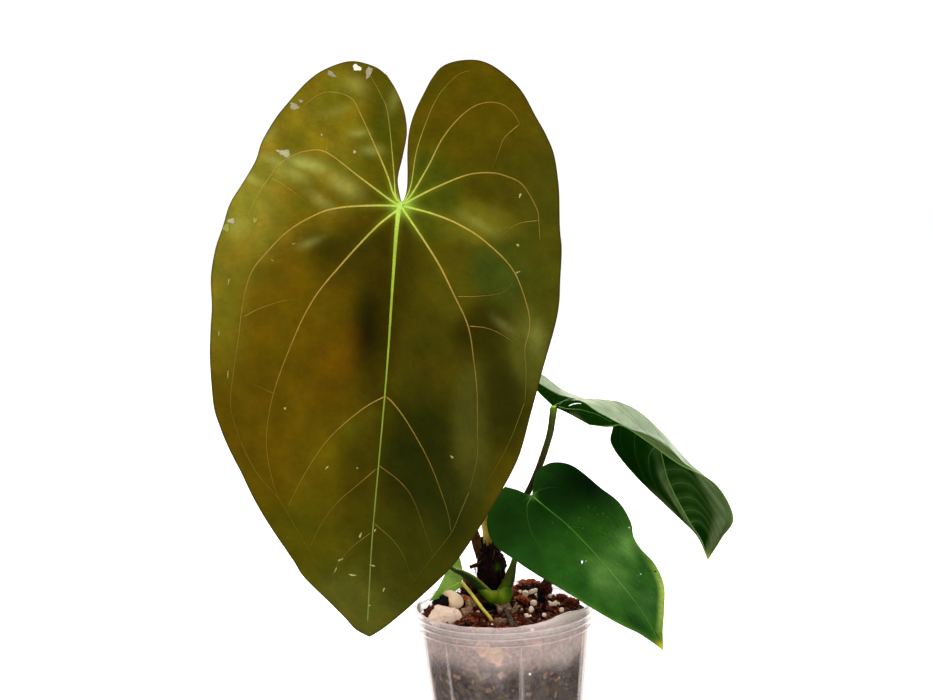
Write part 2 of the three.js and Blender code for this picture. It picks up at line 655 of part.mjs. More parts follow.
const SMALL_PETIOLE = [
  [-4.8, -22.4, 77, 0.9], [-6.2, -22, 84.3, 0.95], [-11.8, -17, 90.1, 0.9], [-17.8, -11, 96.2, 0.85],
  [-22.3, -6.2, 99.9, 0.85], [-23.9, -4.2, 101.1, 0.8],
];
const STICK = [[1.4, -19, 88.4, 1.6], [3, -24, 87.6, 1.7], [5.4, -30, 86.4, 1.5]];

const fat = (path) => rod(path, { grow: GAP });

// Cuts a neighbour, grown by the gap, out of a rod, so that its foot is shaped to sit against it.
function seated(path, neighbours, steps = 18, sides = ROD_SIDES) {
  let solid = toSolid(rod(path, { steps, sides }));
  for (const neighbour of neighbours) {
    solid = solid.subtract(toSolid(neighbour));
  }
  const whole = solid.decompose().sort((a, b) => b.volume() - a.volume())[0];
  return toGeometry(whole);
}

// The brown stem with its one short root stub, grown as one body.
function stemBody() {
  return toGeometry(toSolid(rod(STEM)).add(toSolid(rod(STUB_ROOT, { steps: 5, sides: 6 }))));
}

// For each blade: rungs in the lobes, rungs below the petiole, and columns in a half.
const MESH = {
  large: [12, 22, 7],
  front: [6, 16, 6],
  left: [5, 12, 5],
  small: [4, 8, 4],
  back: [6, 20, 7],
};

function assemble() {
  const plant = new THREE.Group();
  const room = {
    large: flatBlade(LARGE_LEAF, MESH.large, GAP),
    front: flatBlade(FRONT_LEAF, MESH.front, GAP),
    left: flatBlade(LEFT_LEAF, MESH.left, GAP),
    small: flatBlade(SMALL_LEAF, MESH.small, GAP),
    back: archedBlade(ARCHED_LEAF, MESH.back, GAP),
  };
  const grown = {
    stem: fat(STEM),
    cataphyll: fat(CATAPHYLL),
    large: fat(LARGE_PETIOLE),
    front: fat(FRONT_PETIOLE),
    left: fat(LEFT_PETIOLE),
  };
  const sunk = [grown.stem, grown.front, grown.left, fat(SMALL_PETIOLE)];
  const loose = [stone({ ...PEBBLE, grow: GAP }), stone({ ...PUMICE, grow: GAP }), fat(STICK)];
  const petioles = {
    large: seated(LARGE_PETIOLE, [grown.stem, grown.cataphyll, room.large], 20),
    back: seated(BACK_PETIOLE, [grown.stem, grown.large, room.back], 14),
    front: seated(FRONT_PETIOLE, [grown.stem, room.front], 18),
    left: seated(LEFT_PETIOLE, [grown.stem, grown.front, room.left], 20),
    small: seated(SMALL_PETIOLE, [room.small], 10, 7),
  };
  plant.add(
    part('pot', potBody(), 'clearPlastic'),
    part('potting_mix', pottingMix([...sunk, ...loose]), 'bark'),
    part('pebble', stone(PEBBLE), 'pebbleCream'),
    part('pumice', stone(PUMICE), 'pumice'),
    part('bark_stick', welded(rod(STICK, { steps: 5, sides: 7 })), 'greyWood'),
    part('stem', stemBody(), 'brownStem'),
    part('cataphyll', seated(CATAPHYLL, [grown.stem], 10), 'dryCataphyll'),
    part('petiole_large', petioles.large, 'ochrePetiole'),
    part('petiole_back', petioles.back, 'darkPetiole'),
    part('petiole_front', petioles.front, 'greenPetiole'),
    part('petiole_left', petioles.left, 'greenPetiole'),
    part('petiole_small', petioles.small, 'palePetiole'),
    part('leaf_large', flatBlade(LARGE_LEAF, MESH.large), 'bronzeBlade'),
    part('leaf_large_veins', largeVeins(), 'limeVein'),
    part('leaf_front', flatBlade(FRONT_LEAF, MESH.front), 'greenBlade'),
    part('leaf_left', flatBlade(LEFT_LEAF, MESH.left), 'greenBlade'),
    part('leaf_small', flatBlade(SMALL_LEAF, MESH.small), 'paleBlade'),
    part('leaf_back', archedBlade(ARCHED_LEAF, MESH.back), 'greenBlade'),
  );
  return plant;
}

export default assemble();
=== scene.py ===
"""A potted anthurium hybrid: five leaves on their stalks, a short brown stem, and a bark mix in a
thin clear nursery pot. Shapes are worked out in millimetres and go into the meshes in metres."""

import bmesh
import bpy
import numpy as np
from mathutils import Matrix, Vector


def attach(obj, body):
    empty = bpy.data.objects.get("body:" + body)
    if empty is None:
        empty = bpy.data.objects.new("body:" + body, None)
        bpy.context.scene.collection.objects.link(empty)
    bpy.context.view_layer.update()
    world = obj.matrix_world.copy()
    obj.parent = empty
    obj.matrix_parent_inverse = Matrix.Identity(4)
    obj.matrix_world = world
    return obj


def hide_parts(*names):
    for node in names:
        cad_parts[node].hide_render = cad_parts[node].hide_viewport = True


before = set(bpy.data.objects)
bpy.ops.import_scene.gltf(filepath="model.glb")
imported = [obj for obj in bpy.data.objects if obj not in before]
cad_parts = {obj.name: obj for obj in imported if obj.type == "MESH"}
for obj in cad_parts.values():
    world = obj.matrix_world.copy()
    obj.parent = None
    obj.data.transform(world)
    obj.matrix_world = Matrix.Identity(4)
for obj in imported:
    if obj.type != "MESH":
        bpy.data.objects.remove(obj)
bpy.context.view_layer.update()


# Camera: level with the middle of the large leaf, looking slightly down and rolled a little to
# one side. Its lens takes in the plant from above the leaf to the middle of the pot.
EYE = np.array([-0.0143, -0.8673, 0.3285])
PITCH, ROLL = np.radians([6.85, 2.4])
LENS, SENSOR = 64.32, 36
sideways = np.array([1.0, 0.0, 0.0])
upwards = np.array([0.0, np.sin(PITCH), np.cos(PITCH)])
ahead = np.array([0.0, np.cos(PITCH), -np.sin(PITCH)])
camera = bpy.data.objects.new("camera", bpy.data.cameras.new("camera"))
camera.data.lens = LENS
camera.data.sensor_width = SENSOR
turned = np.column_stack([
    np.cos(ROLL) * sideways - np.sin(ROLL) * upwards,
    np.sin(ROLL) * sideways + np.cos(ROLL) * upwards,
    -ahead,
])
camera.matrix_world = Matrix(np.vstack([np.column_stack([turned, EYE]), [0, 0, 0, 1]]).tolist())
bpy.context.collection.objects.link(camera)
bpy.context.scene.camera = camera
bpy.context.scene.view_settings.view_transform = "Standard"


# Studio: a white room that is brightest behind the plant, with soft boxes above, behind and at the
# front left. The floor is matt white paint, bright enough to run into the background.
def linear(*rgb):
    """A colour given as 0 to 255 on a screen, or rows of such colours, as the linear values that a
    material takes."""
    c = np.asarray(rgb, float) / 255
    return np.where(c <= 0.04045, c / 12.92, ((c + 0.055) / 1.055) ** 2.4)


def softbox(name, at, aim, size, watts):
    """A square lamp at one point, in metres, that faces another."""
    lamp = bpy.data.lights.new(name, "AREA")
    lamp.shape, lamp.size, lamp.energy = "SQUARE", size, watts
    box = bpy.data.objects.new(name, lamp)
    facing = (Vector(aim) - Vector(at)).to_track_quat("-Z", "Y").to_matrix().to_4x4()
    box.matrix_world = Matrix.Translation(at) @ facing
    bpy.context.collection.objects.link(box)


softbox("soft_box_left", (-1.1, -1.0, 1.15), (0, 0, 0.2), 0.9, 15)
softbox("soft_box_right", (0.75, -1.1, 0.7), (0.02, 0, 0.1), 0.7, 8)
softbox("soft_box_above", (0.1, 0.25, 1.5), (0, 0, 0.15), 1.1, 16)
softbox("soft_box_behind", (0.5, 1.5, 0.9), (0, 0, 0.2), 1.2, 18)

room = bpy.data.worlds.new("white_room")
bpy.context.scene.world = room
room.use_nodes = True
air = room.node_tree
air.nodes.clear()
direction, parts, behind, seen, strength, sky, air_out = (air.nodes.new("ShaderNode" + kind) for kind in (
    "TexCoord", "SeparateXYZ", "MapRange", "LightPath", "Mix", "Background", "OutputWorld"))
for socket, value in (("From Min", -0.35), ("From Max", 0.7), ("To Min", 0.22), ("To Max", 1.15)):
    behind.inputs[socket].default_value = value
strength.inputs["B"].default_value = 1.1
sky.inputs["Color"].default_value = (1, 1, 1, 1)
for source, socket in (
        (direction.outputs["Generated"], parts.inputs[0]), (parts.outputs["Y"], behind.inputs["Value"]),
        (behind.outputs["Result"], strength.inputs["A"]),
        (seen.outputs["Is Camera Ray"], strength.inputs["Factor"]),
        (strength.outputs["Result"], sky.inputs["Strength"]), (sky.outputs[0], air_out.inputs["Surface"])):
    air.links.new(source, socket)

FLOOR_REACH = 6.0
floor_mesh = bpy.data.meshes.new("floor")
floor_mesh.from_pydata([(x, y, 0) for x, y in ((-1, -1), (1, -1), (1, 1), (-1, 1))], [], [(0, 1, 2, 3)])
floor_mesh.transform(Matrix.Diagonal((FLOOR_REACH, FLOOR_REACH, 1, 1)))
floor = bpy.data.objects.new("floor", floor_mesh)
bpy.context.collection.objects.link(floor)
paint = bpy.data.materials.new("white_floor_paint")
paint.use_nodes = True
for socket, value in (("Base Color", (0.9, 0.9, 0.9, 1)), ("Roughness", 0.9), ("Specular IOR Level", 0.1),
                      ("Emission Color", (1, 1, 1, 1)), ("Emission Strength", 0.45)):
    paint.node_tree.nodes["Principled BSDF"].inputs[socket].default_value = value
floor_mesh.materials.append(paint)


# Pot: blown from thin, slightly milky polypropylene, with three small ring beads below the rim and
# seven upright ribs that stiffen the wall. Six drain holes are punched in its floor.
POT_HEIGHT, BASE_RADIUS, RIM_RADIUS = 88.0, 37.5, 47.5
WALL, POT_FLOOR = 0.8, 1.4
BEADS = (77.3, 81.0, 84.5)
RIBS, FIRST_RIB_DEG, RIB_LOW, RIB_TOP = 7, 8.8, 3.0, 76.0
DRAINS, DRAIN_RADIUS, DRAIN_CIRCLE = 6, 3.5, 26.0
AROUND_POT = 640


def quads(rows, columns):
    """The four-cornered faces of a grid of points that is stored row by row."""
    r, c = np.meshgrid(np.arange(rows - 1), np.arange(columns - 1), indexing="ij")
    here = r * columns + c
    return np.stack([here, here + 1, here + 1 + columns, here + columns], -1).reshape(-1, 4)


def joined(shells):
    """Several (points, faces, tint, plan) shells as one, with the corner numbers moved up."""
    counts = np.cumsum([0] + [len(s[0]) for s in shells[:-1]])
    faces = np.concatenate([s[1] + n for s, n in zip(shells, counts)])
    return [np.concatenate([s[0] for s in shells]), faces] + [
        np.concatenate([s[i] for s in shells]) for i in (2, 3)
    ]


def make_piece(name, points, faces, tint=None, plan=None):
    """A closed, smooth mesh from points in millimetres and four-cornered faces. tint is a linear
    colour for each point, with an optional fourth value, and plan its place on the unrolled
    surface, in millimetres."""
    mesh = bpy.data.meshes.new(name)
    mesh.vertices.add(len(points))
    mesh.vertices.foreach_set("co", (np.asarray(points, float) / 1000).ravel())
    mesh.loops.add(faces.size)
    mesh.loops.foreach_set("vertex_index", faces.ravel())
    mesh.polygons.add(len(faces))
    mesh.polygons.foreach_set("loop_start", np.arange(0, faces.size, 4))
    mesh.update(calc_edges=True)
    if tint is not None:
        layer = mesh.color_attributes.new("tint", "FLOAT_COLOR", "POINT")
        layer.data.foreach_set("color", np.column_stack([tint, np.ones(len(points))])[:, :4].ravel())
    if plan is not None:
        layer = mesh.uv_layers.new(name="plan")
        layer.data.foreach_set("uv", (np.asarray(plan)[faces.ravel()] / 100).ravel())
    shell = bmesh.new()
    shell.from_mesh(mesh)
    bmesh.ops.remove_doubles(shell, verts=shell.verts, dist=1e-7)
    bmesh.ops.recalc_face_normals(shell, faces=shell.faces)
    for face in shell.faces:
        face.smooth = True
    shell.to_mesh(mesh)
    shell.free()
    piece = bpy.data.objects.new(name, mesh)
    bpy.context.collection.objects.link(piece)
    return piece


def fitted(piece, finish, node):
    """Gives a piece its finish, hangs it under the root body, and hides the solid that it stands for."""
    piece.data.materials.clear()
    piece.data.materials.append(finish.material)
    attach(piece, "root")
    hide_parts(node)
    return piece


def cone_radius(z):
    """The wall's outer radius at a height: a plain cone."""
    return BASE_RADIUS + (RIM_RADIUS - BASE_RADIUS) * z / POT_HEIGHT


def pot_shell():
    """A profile turned about the upright axis: out along the foot, up the wall, over the lip, down
    inside and back to the axis. Each bead adds a small bell curve to the radius at its height, and
    each rib adds one across the angle, faded at both of its ends."""
    wall = np.unique(np.concatenate([
        np.linspace(2, POT_HEIGHT - 0.5, 40), *[b + np.linspace(-1.4, 1.4, 9) for b in BEADS],
    ]))
    bead = sum(0.4 * np.exp(-((wall - b) / 0.42) ** 2) for b in BEADS)
    outer_r = np.concatenate([[0, 20, 34, BASE_RADIUS - 0.9, BASE_RADIUS - 0.25], cone_radius(wall) + bead])
    outer_z = np.concatenate([[0, 0, 0, 0, 0.5], wall])
    lip_r = np.array([RIM_RADIUS + 0.05, RIM_RADIUS - 0.5, RIM_RADIUS - 1.0, RIM_RADIUS - 1.1])
    lip_z = np.array([POT_HEIGHT - 0.15, POT_HEIGHT, POT_HEIGHT - 0.15, POT_HEIGHT - 1.2])
    inside = np.linspace(POT_HEIGHT - 3, POT_FLOOR + 1, 24)
    inner_r = np.concatenate([cone_radius(inside) - WALL, [cone_radius(POT_FLOOR) - WALL - 0.9, 20, 0]])
    inner_z = np.concatenate([inside, [POT_FLOOR, POT_FLOOR, POT_FLOOR]])
    r = np.concatenate([outer_r, lip_r, inner_r])[None]
    z = np.concatenate([outer_z, lip_z, inner_z])[None]
    turn = np.linspace(0, 2 * np.pi, AROUND_POT + 1)[:, None]
    pitch = 2 * np.pi / RIBS
    first = np.radians(FIRST_RIB_DEG - 90)
    off = (turn - first + pitch / 2) % pitch - pitch / 2
    span = np.clip((z - RIB_LOW) / 3, 0, 1) * np.clip((RIB_TOP - z) / 3, 0, 1)
    on_outside = (np.arange(r.size) < outer_r.size)[None]
    rib = 0.22 * np.exp(-((off * r / 0.26) ** 2)) * span * on_outside
    dent = 0.16 * np.sin(2 * turn + 0.04 * z) + 0.1 * np.sin(5 * turn - 0.09 * z + 1)
    high = np.clip((z - 60) / 28, 0, 1)
    ahead_of = (turn + np.pi / 2 + np.pi) % (2 * np.pi) - np.pi
    bent = np.exp(-((ahead_of - 0.74) / 0.36) ** 2)
    lip = np.clip((z - 84.8) / 3.2, 0, 1) * (r > 30)
    lip_wave = (0.12 * np.sin(3 * turn + 2) + 0.12 * np.sin(13 * turn) + 0.1 * np.sin(31 * turn)
                + 0.07 * np.sin(57 * turn))
    radius = r + rib + dent * high * (r > 30) - 2.2 * bent * lip
    level = z + lip * (lip_wave - 0.2 + 2.4 * bent)
    points = np.stack([radius * np.cos(turn), radius * np.sin(turn), level], -1)
    return points.reshape(-1, 3), quads(AROUND_POT + 1, r.size)[:, ::-1]


pot = make_piece("pot_shell", *pot_shell())


def bored(piece, punches):
    """Cuts the shapes in punches out of a piece, and leaves the result as its mesh."""
    mesh = bpy.data.meshes.new("punches")
    punches.to_mesh(mesh)
    punches.free()
    punch = bpy.data.objects.new("punches", mesh)
    bpy.context.collection.objects.link(punch)
    cut = piece.modifiers.new("holes", "BOOLEAN")
    cut.object, cut.operation, cut.solver = punch, "DIFFERENCE", "EXACT"
    bpy.context.view_layer.update()
    cut_mesh = bpy.data.meshes.new_from_object(piece.evaluated_get(bpy.context.evaluated_depsgraph_get()))
    piece.modifiers.clear()
    piece.data = cut_mesh
    bpy.data.objects.remove(punch)
    return cut_mesh


drains = bmesh.new()
for i in range(DRAINS):
    at = 2 * np.pi * i / DRAINS
    place = Matrix.Translation((DRAIN_CIRCLE / 1000 * np.cos(at), DRAIN_CIRCLE / 1000 * np.sin(at), 0))
    bmesh.ops.create_cone(drains, cap_ends=True, segments=32, radius1=DRAIN_RADIUS / 1000,
                          radius2=DRAIN_RADIUS / 1000, depth=0.008, matrix=place)
finished = bored(pot, drains)
corners = np.empty(3 * len(finished.vertices))
finished.vertices.foreach_get("co", corners)
corners = corners.reshape(-1, 3) * 1000
proud = np.hypot(corners[:, 0], corners[:, 1]) - cone_radius(corners[:, 2])
# Painted highlights: pale lines along the bead crests, the rib crests and the lip's edge, partly the
# plastic's own milkiness. Painted shadow: dark lines beside each rib, strongest below the mix.
crest = sum(np.exp(-((corners[:, 2] - b) / 0.24) ** 2) for b in BEADS)
lip_edge = np.clip((corners[:, 2] - 87.2) / 0.6, 0, 1)
turned_by = np.arctan2(corners[:, 0], -corners[:, 1])
pitch = 2 * np.pi / RIBS
beside_rib = ((turned_by - np.radians(FIRST_RIB_DEG) + pitch / 2) % pitch - pitch / 2) * 44
on_ribs = (corners[:, 2] > RIB_LOW) & (corners[:, 2] < RIB_TOP + 0.6) & (proud > -0.4)
rib_line = np.exp(-((beside_rib / 0.22) ** 2)) * on_ribs
rib_shade = np.exp(-(((np.abs(beside_rib + 0.1) - 0.75) / 0.36) ** 2)) * on_ribs
rib_shade = rib_shade * np.interp(corners[:, 2], [60, 68], [1, 0.1])
milk_and_highlight = np.clip(0.6 * crest * (proud > -0.3) + 0.75 * rib_line + 0.5 * lip_edge, 0, 1)
for layer, values in (("milk_and_highlight", milk_and_highlight), ("shade", rib_shade)):
    finished.attributes.new(layer, "FLOAT", "POINT").data.foreach_set("value", values)


class Finish:
    """A material under construction: a shader with its node tree at hand."""

    def __init__(self, name, **constants):
        self.material = bpy.data.materials.new(name)
        self.material.use_nodes = True
        self.tree = self.material.node_tree
        self.shader = self.tree.nodes["Principled BSDF"]
        for socket, value in constants.items():
            self.shader.inputs[socket.replace("_", " ")].default_value = value

    def node(self, kind, links=(), **values):
        """A node whose sockets are set by name, and whose inputs are linked by name or number."""
        made = self.tree.nodes.new("ShaderNode" + kind)
        for key, value in values.items():
            if hasattr(made, key):
                setattr(made, key, value)
            else:
                made.inputs[key.replace("_", " ")].default_value = value
        for socket, source in dict(links).items():
            if isinstance(source, float):
                made.inputs[socket].default_value = source
            else:
                self.tree.links.new(source, made.inputs[socket])
        return made

    def link(self, source, socket):
        self.tree.links.new(source, self.shader.inputs[socket])

    def ramp(self, source, *stops):
        """A colour ramp with given stops of (place, linear colour)."""
        made = self.node("ValToRGB", {"Fac": source})
        steps = made.color_ramp.elements
        while len(steps) < len(stops):
            steps.new(0.5)
        for step, (place, colour) in zip(steps, stops):
            step.position = place
            step.color = (*np.broadcast_to(colour, 3), 1)
        return made.outputs["Color"]

    def tinted(self, tint, *greys):
        """The tint multiplied by grey patterns."""
        for grey in greys:
            mixed = self.node("MixRGB", {"Color1": tint, "Color2": grey}, blend_type="MULTIPLY", Fac=1.0)
            tint = mixed.outputs[0]
        return tint

    def object_place(self):
        return self.node("TexCoord").outputs["Object"]

    def noise(self, place, scale, detail, roughness=0.5):
        made = self.node("TexNoise", {"Vector": place}, Scale=scale, Detail=detail, Roughness=roughness)
        return made.outputs[0]

    def sum(self, first, second, operation="ADD"):
        """Two values added, or put together by another operation, each a socket or a number."""
        return self.node("Math", {0: first, 1: second}, operation=operation).outputs[0]

    def fit(self, value, low, high, to_low, to_high, kind="LINEAR"):
        """A value moved from one range to another, and held at both ends."""
        return self.node("MapRange", {"Value": value}, From_Min=low, From_Max=high, To_Min=to_low,
                         To_Max=to_high, interpolation_type=kind).outputs[0]

    def bump(self, height, strength, distance):
        relief = self.node("Bump", {"Height": height}, Strength=strength, Distance=distance)
        self.link(relief.outputs["Normal"], "Normal")


plastic = Finish("milky_plastic", Roughness=0.24, IOR=1.49, Specular_IOR_Level=0.35)
where = plastic.object_place()
drawn = plastic.node("Mapping", {"Vector": where}, Scale=(1, 1, 0.25)).outputs[0]
streak = plastic.noise(drawn, 190.0, 5.0)
cloud = plastic.noise(where, 34.0, 4.0)
haze = plastic.ramp(cloud, (0.3, linear(204, 186, 180)), (0.7, linear(226, 210, 202)))
rib_painted_shadow = plastic.node("Attribute", attribute_name="shade").outputs["Fac"]
plastic.link(plastic.tinted(haze, plastic.ramp(rib_painted_shadow, (0.0, 1.0), (1.0, 0.015))), "Base Color")
# How solid the wall looks: drawn streaks, milkier above the mix and at the rim, pale crests of painted
# highlight, painted shadow lines along the ribs, and most of all where it is seen edge on.
crests = plastic.node("Attribute", attribute_name="milk_and_highlight").outputs["Fac"]
edge = plastic.node("LayerWeight", Blend=0.5).outputs["Facing"]
height = plastic.node("SeparateXYZ", {"Vector": where}).outputs["Z"]
level_up = plastic.sum(height, plastic.fit(cloud, 0.3, 0.7, -0.004, 0.004))
solidity = plastic.fit(streak, 0.3, 0.7, 0.01, 0.05)
for share in (
        plastic.fit(level_up, 0.058, 0.072, 0.0, 0.17, "SMOOTHSTEP"),
        plastic.fit(height, 0.0785, 0.0835, 0.0, 0.14, "SMOOTHSTEP"),
        plastic.sum(crests, 0.6, "MULTIPLY"),
        plastic.sum(rib_painted_shadow, 0.8, "MULTIPLY"),
        plastic.fit(edge, 0.62, 0.85, 0.0, 0.9, "SMOOTHSTEP")):
    solidity = plastic.sum(solidity, share)
solidity.node.use_clamp = True
plastic.link(solidity, "Alpha")
plastic.bump(streak, 0.08, 0.0006)
fitted(pot, plastic, "pot")


# Potting mix: damp bark fines that fill the pot, with chips, char, perlite and strands of fibre
# loose on top and pressed against the wall. The stems stand in it.
MIX_LEVEL, MOUND_HEIGHT = 83.4, 4.8
MOUND_X, MOUND_Y, MOUND_SPREAD = 7.0, 15.0, 15.5
STEM_SPOTS = np.array([[-6.3, 2.5, 8.5], [0.2, -7.3, 6.2], [-9.0, -7.2, 4.5], [-5.2, -22.3, 1.6]])


def ripple(points, apart, seed, waves=10):
    """Unevenness between about -1 and 1: the mean of waves that run in random directions, with
    crests that lie about the given distance apart."""
    draw = np.random.default_rng(seed)
    ways = draw.normal(size=(waves, points.shape[-1]))
    ways /= np.linalg.norm(ways, axis=1, keepdims=True)
    ways *= 2 * np.pi / apart * draw.uniform(0.6, 1.5, (waves, 1))
    return 1.8 * np.sin(points @ ways.T + draw.uniform(0, 2 * np.pi, waves)).mean(-1)


def mix_height(x, y):
    """The top of the mix: a level with a bell-shaped mound behind the stem and a gentle swell, that
    drops towards the wall at both sides, and most at the back right."""
    away = ((x - MOUND_X) ** 2 + (y - MOUND_Y) ** 2) / (2 * MOUND_SPREAD ** 2)
    swell = 0.7 * np.sin(0.31 * x + 1.2) * np.cos(0.27 * y) + 0.5 * np.sin(0.5 * y - 0.4 * x)
    out = np.hypot(x, y)
    to_side = np.clip(np.abs(x) / 46 + 0.35 * np.clip(y / 30, 0, 1), 0, 1)
    rim_drop = 5.5 * np.clip((out - 35) / 10, 0, 1) ** 1.5 * to_side
    corner_drop = 4.5 * np.clip((out - 29) / 14, 0, 1) * np.clip(x / 25, 0, 1) * np.clip(y / 14, 0, 1)
    return MIX_LEVEL + MOUND_HEIGHT * np.exp(-away) - 0.03 * x + swell - rim_drop - corner_drop


def mix_bed():
    """A grid of angle against distance from the top's centre, out to the wall, down it and back
    under to the axis. The top follows the mix's height, and all of it is roughened by ripples."""
    turn = np.linspace(0, 2 * np.pi, 220)[:, None]
    inside = lambda z: cone_radius(z) - WALL - 0.4
    r_top = np.linspace(0, inside(81.0), 60)[None]
    z_wall = np.linspace(80, 2.2, 70)[None]
    x, y = r_top * np.cos(turn), r_top * np.sin(turn)
    top = np.stack([x, y, mix_height(x, y) - 0.8], -1)
    top[..., 2] += 0.8 * ripple(top, 5, 3) * (r_top > 0)
    ring = inside(z_wall) + 0 * turn
    wall = np.stack([ring * np.cos(turn), ring * np.sin(turn), z_wall + 0 * turn], -1)
    shrink = 1 - (0.25 + 0.25 * ripple(wall, 6, 4))[..., None] / inside(z_wall)[..., None]
    wall[..., :2] *= shrink
    under = np.stack([0 * turn, 0 * turn, 0 * turn + 2.2], -1)
    points = np.concatenate([top, wall, under], 1)
    points[-1] = points[0]
    return points.reshape(-1, 3), quads(*points.shape[:2])


def turns(angles):
    """Turning matrices from three angles each: about X, then Y, then Z."""
    (cx, cy, cz), (sx, sy, sz) = np.cos(angles).T, np.sin(angles).T
    one, nil = np.ones_like(cx), np.zeros_like(cx)
    x = np.array([[one, nil, nil], [nil, cx, -sx], [nil, sx, cx]])
    y = np.array([[cy, nil, sy], [nil, one, nil], [-sy, nil, cy]])
    z = np.array([[cz, -sz, nil], [sz, cz, nil], [nil, nil, one]])
    return np.einsum("abn,bcn,cdn->nad", z, y, x)


def ball_grid(rows, around):
    """The directions of a ball, by latitude and longitude, with its seam closed."""
    lat = np.linspace(-np.pi / 2, np.pi / 2, rows)[:, None]
    lon = np.linspace(0, 2 * np.pi, around + 1)[None]
    ball = np.stack([np.cos(lat) * np.cos(lon), np.cos(lat) * np.sin(lon), np.sin(lat) + 0 * lon], -1)
    ball[:, -1] = ball[:, 0]
    return ball


def copies(cell, count, corners):
    """The faces of count like shells of so many corners each, stored one after the other."""
    return (cell[None] + (np.arange(count) * corners)[:, None, None]).reshape(-1, 4)


def lumps(centres, sizes, angles, colours, seed, rough, rows, around, boxy=0.62):
    """Broken lumps. A point at a latitude and a longitude of a ball is pushed towards a box by
    taking a power of its direction, roughened by waves of its own, stretched, turned and moved."""
    draw = np.random.default_rng(seed)
    count = len(centres)
    ball = ball_grid(rows, around).reshape(1, -1, 3)
    box = np.sign(ball) * np.abs(ball) ** boxy
    waves = draw.normal(0, 2.6, (count, 5, 3))
    phase = draw.uniform(0, 2 * np.pi, (count, 5, 1))
    swell = np.sin(np.einsum("nwk,mpk->nwp", waves, ball) + phase).mean(1)
    jag = draw.normal(0, 0.55 * rough, (count, rows, around + 1))
    jag[:, [0, -1]] = jag[:, [0, -1], :1]
    jag[:, :, -1] = jag[:, :, 0]
    reach = 1 + 2 * rough * swell + jag.reshape(count, -1)
    body = box * reach[..., None] * np.asarray(sizes)[:, None] / 2
    body = np.einsum("nab,npb->npa", turns(np.asarray(angles)), body) + np.asarray(centres)[:, None]
    # Painted shade: a lump is lighter where it swells out and darker where it sinks in.
    shade = 1 + 0.5 * swell[..., None]
    tint = np.clip(np.asarray(colours)[:, None] * shade, 0, 1)
    points = body.reshape(-1, 3)
    return points, copies(quads(rows, around + 1), count, ball.shape[1]), tint.reshape(-1, 3), points[:, :2]


def strands(starts, ends, sag, radius, colours):
    """Thin fibres: a point runs from start to end and is bowed by sag times a half wave, inside a
    four-sided skin that thins towards both ends."""
    rings, around = 8, 5
    t = np.linspace(0, 1, rings)[None, :, None]
    starts, ends, sag = (np.asarray(a, float)[:, None] for a in (starts, ends, sag))
    line = starts + (ends - starts) * t + sag * np.sin(np.pi * t)
    along = np.gradient(line, axis=1)
    along /= np.linalg.norm(along, axis=-1, keepdims=True) + 1e-9
    side = np.cross(along, np.array([0.31, 0.52, 0.79]))
    side /= np.linalg.norm(side, axis=-1, keepdims=True)
    other = np.cross(along, side)
    turn = np.linspace(0, 2 * np.pi, around)[None, None, :, None]
    width = np.asarray(radius)[:, None, None, None] * np.sin(np.pi * np.clip(t, 0.0, 1.0))[..., None] ** 0.4
    width = np.where((t > 0)[..., None] & (t < 1)[..., None], width, 0)
    skin = line[:, :, None] + width * (side[:, :, None] * np.cos(turn) + other[:, :, None] * np.sin(turn))
    points = skin.reshape(-1, 3)
    tint = np.repeat(colours, rings * around, axis=0)
    return points, copies(quads(rings, around), len(skin), rings * around), tint, points[:, :2]


BARK = linear((146, 60, 24), (186, 88, 42), (96, 34, 14), (62, 20, 10), (34, 12, 7), (196, 110, 66),
              (136, 82, 56), (20, 8, 6))
BARK_ODDS = [0.21, 0.15, 0.2, 0.15, 0.12, 0.06, 0.06, 0.05]


def room_at(x, y):
    """How far a place is from the skin of each stem, below 0 inside it."""
    return np.hypot(x[:, None] - STEM_SPOTS[:, 0], y[:, None] - STEM_SPOTS[:, 1]) - STEM_SPOTS[:, 2]


def top_chips(count, seed, smallest, largest, lift):
    """Chips strewn over the top of the mix by a sunflower rule, clear of the stems, flat side
    mostly down."""
    draw = np.random.default_rng(seed)
    i = np.arange(count)
    r = 44.2 * np.sqrt((i + 0.5) / count)
    turn = i * 2.39996 + draw.normal(0, 0.3, count)
    x, y = r * np.cos(turn), r * np.sin(turn)
    length = smallest + (largest - smallest) * draw.random(count) ** 1.6
    width, thick = (length * draw.uniform(low, high, count) for low, high in ((0.5, 0.9), (0.3, 0.6)))
    size = np.stack([length, width, thick], 1)
    clear = (room_at(x, y) > 0.35 * length[:, None]).all(1) & (np.hypot(x, y) + 0.42 * length < 44.0)
    z = mix_height(x, y) + lift + size[:, 2] * draw.uniform(-0.3, 0.5, count)
    angle = np.stack([*draw.normal(0, 0.45, (2, count)), draw.uniform(0, 6.28, count)], 1)
    colour = BARK[draw.choice(len(BARK), count, p=BARK_ODDS)] * draw.uniform(0.7, 1.35, (count, 1))
    keep = np.flatnonzero(clear)
    return [a[keep] for a in (np.stack([x, y, z], 1), size, angle, colour)]


class Grit(Finish):
    """A rough, dull finish: each point's own tint, broken up by grain at two sizes."""

    def __init__(self, name, grain, bump, contrast, **constants):
        super().__init__(name, **constants)
        here = self.object_place()
        tint = self.node("VertexColor", layer_name="tint").outputs["Color"]
        coarse = self.noise(here, grain, 8.0, 0.7)
        fine = self.node("TexVoronoi", {"Vector": here}, Scale=grain * 3.1).outputs["Distance"]
        light = self.ramp(coarse, (0.37, 1 - 0.7 * contrast), (0.63, 1 + 0.7 * contrast))
        self.link(self.tinted(tint, light), "Base Color")
        self.bump(self.sum(coarse, fine), bump, 0.0008)


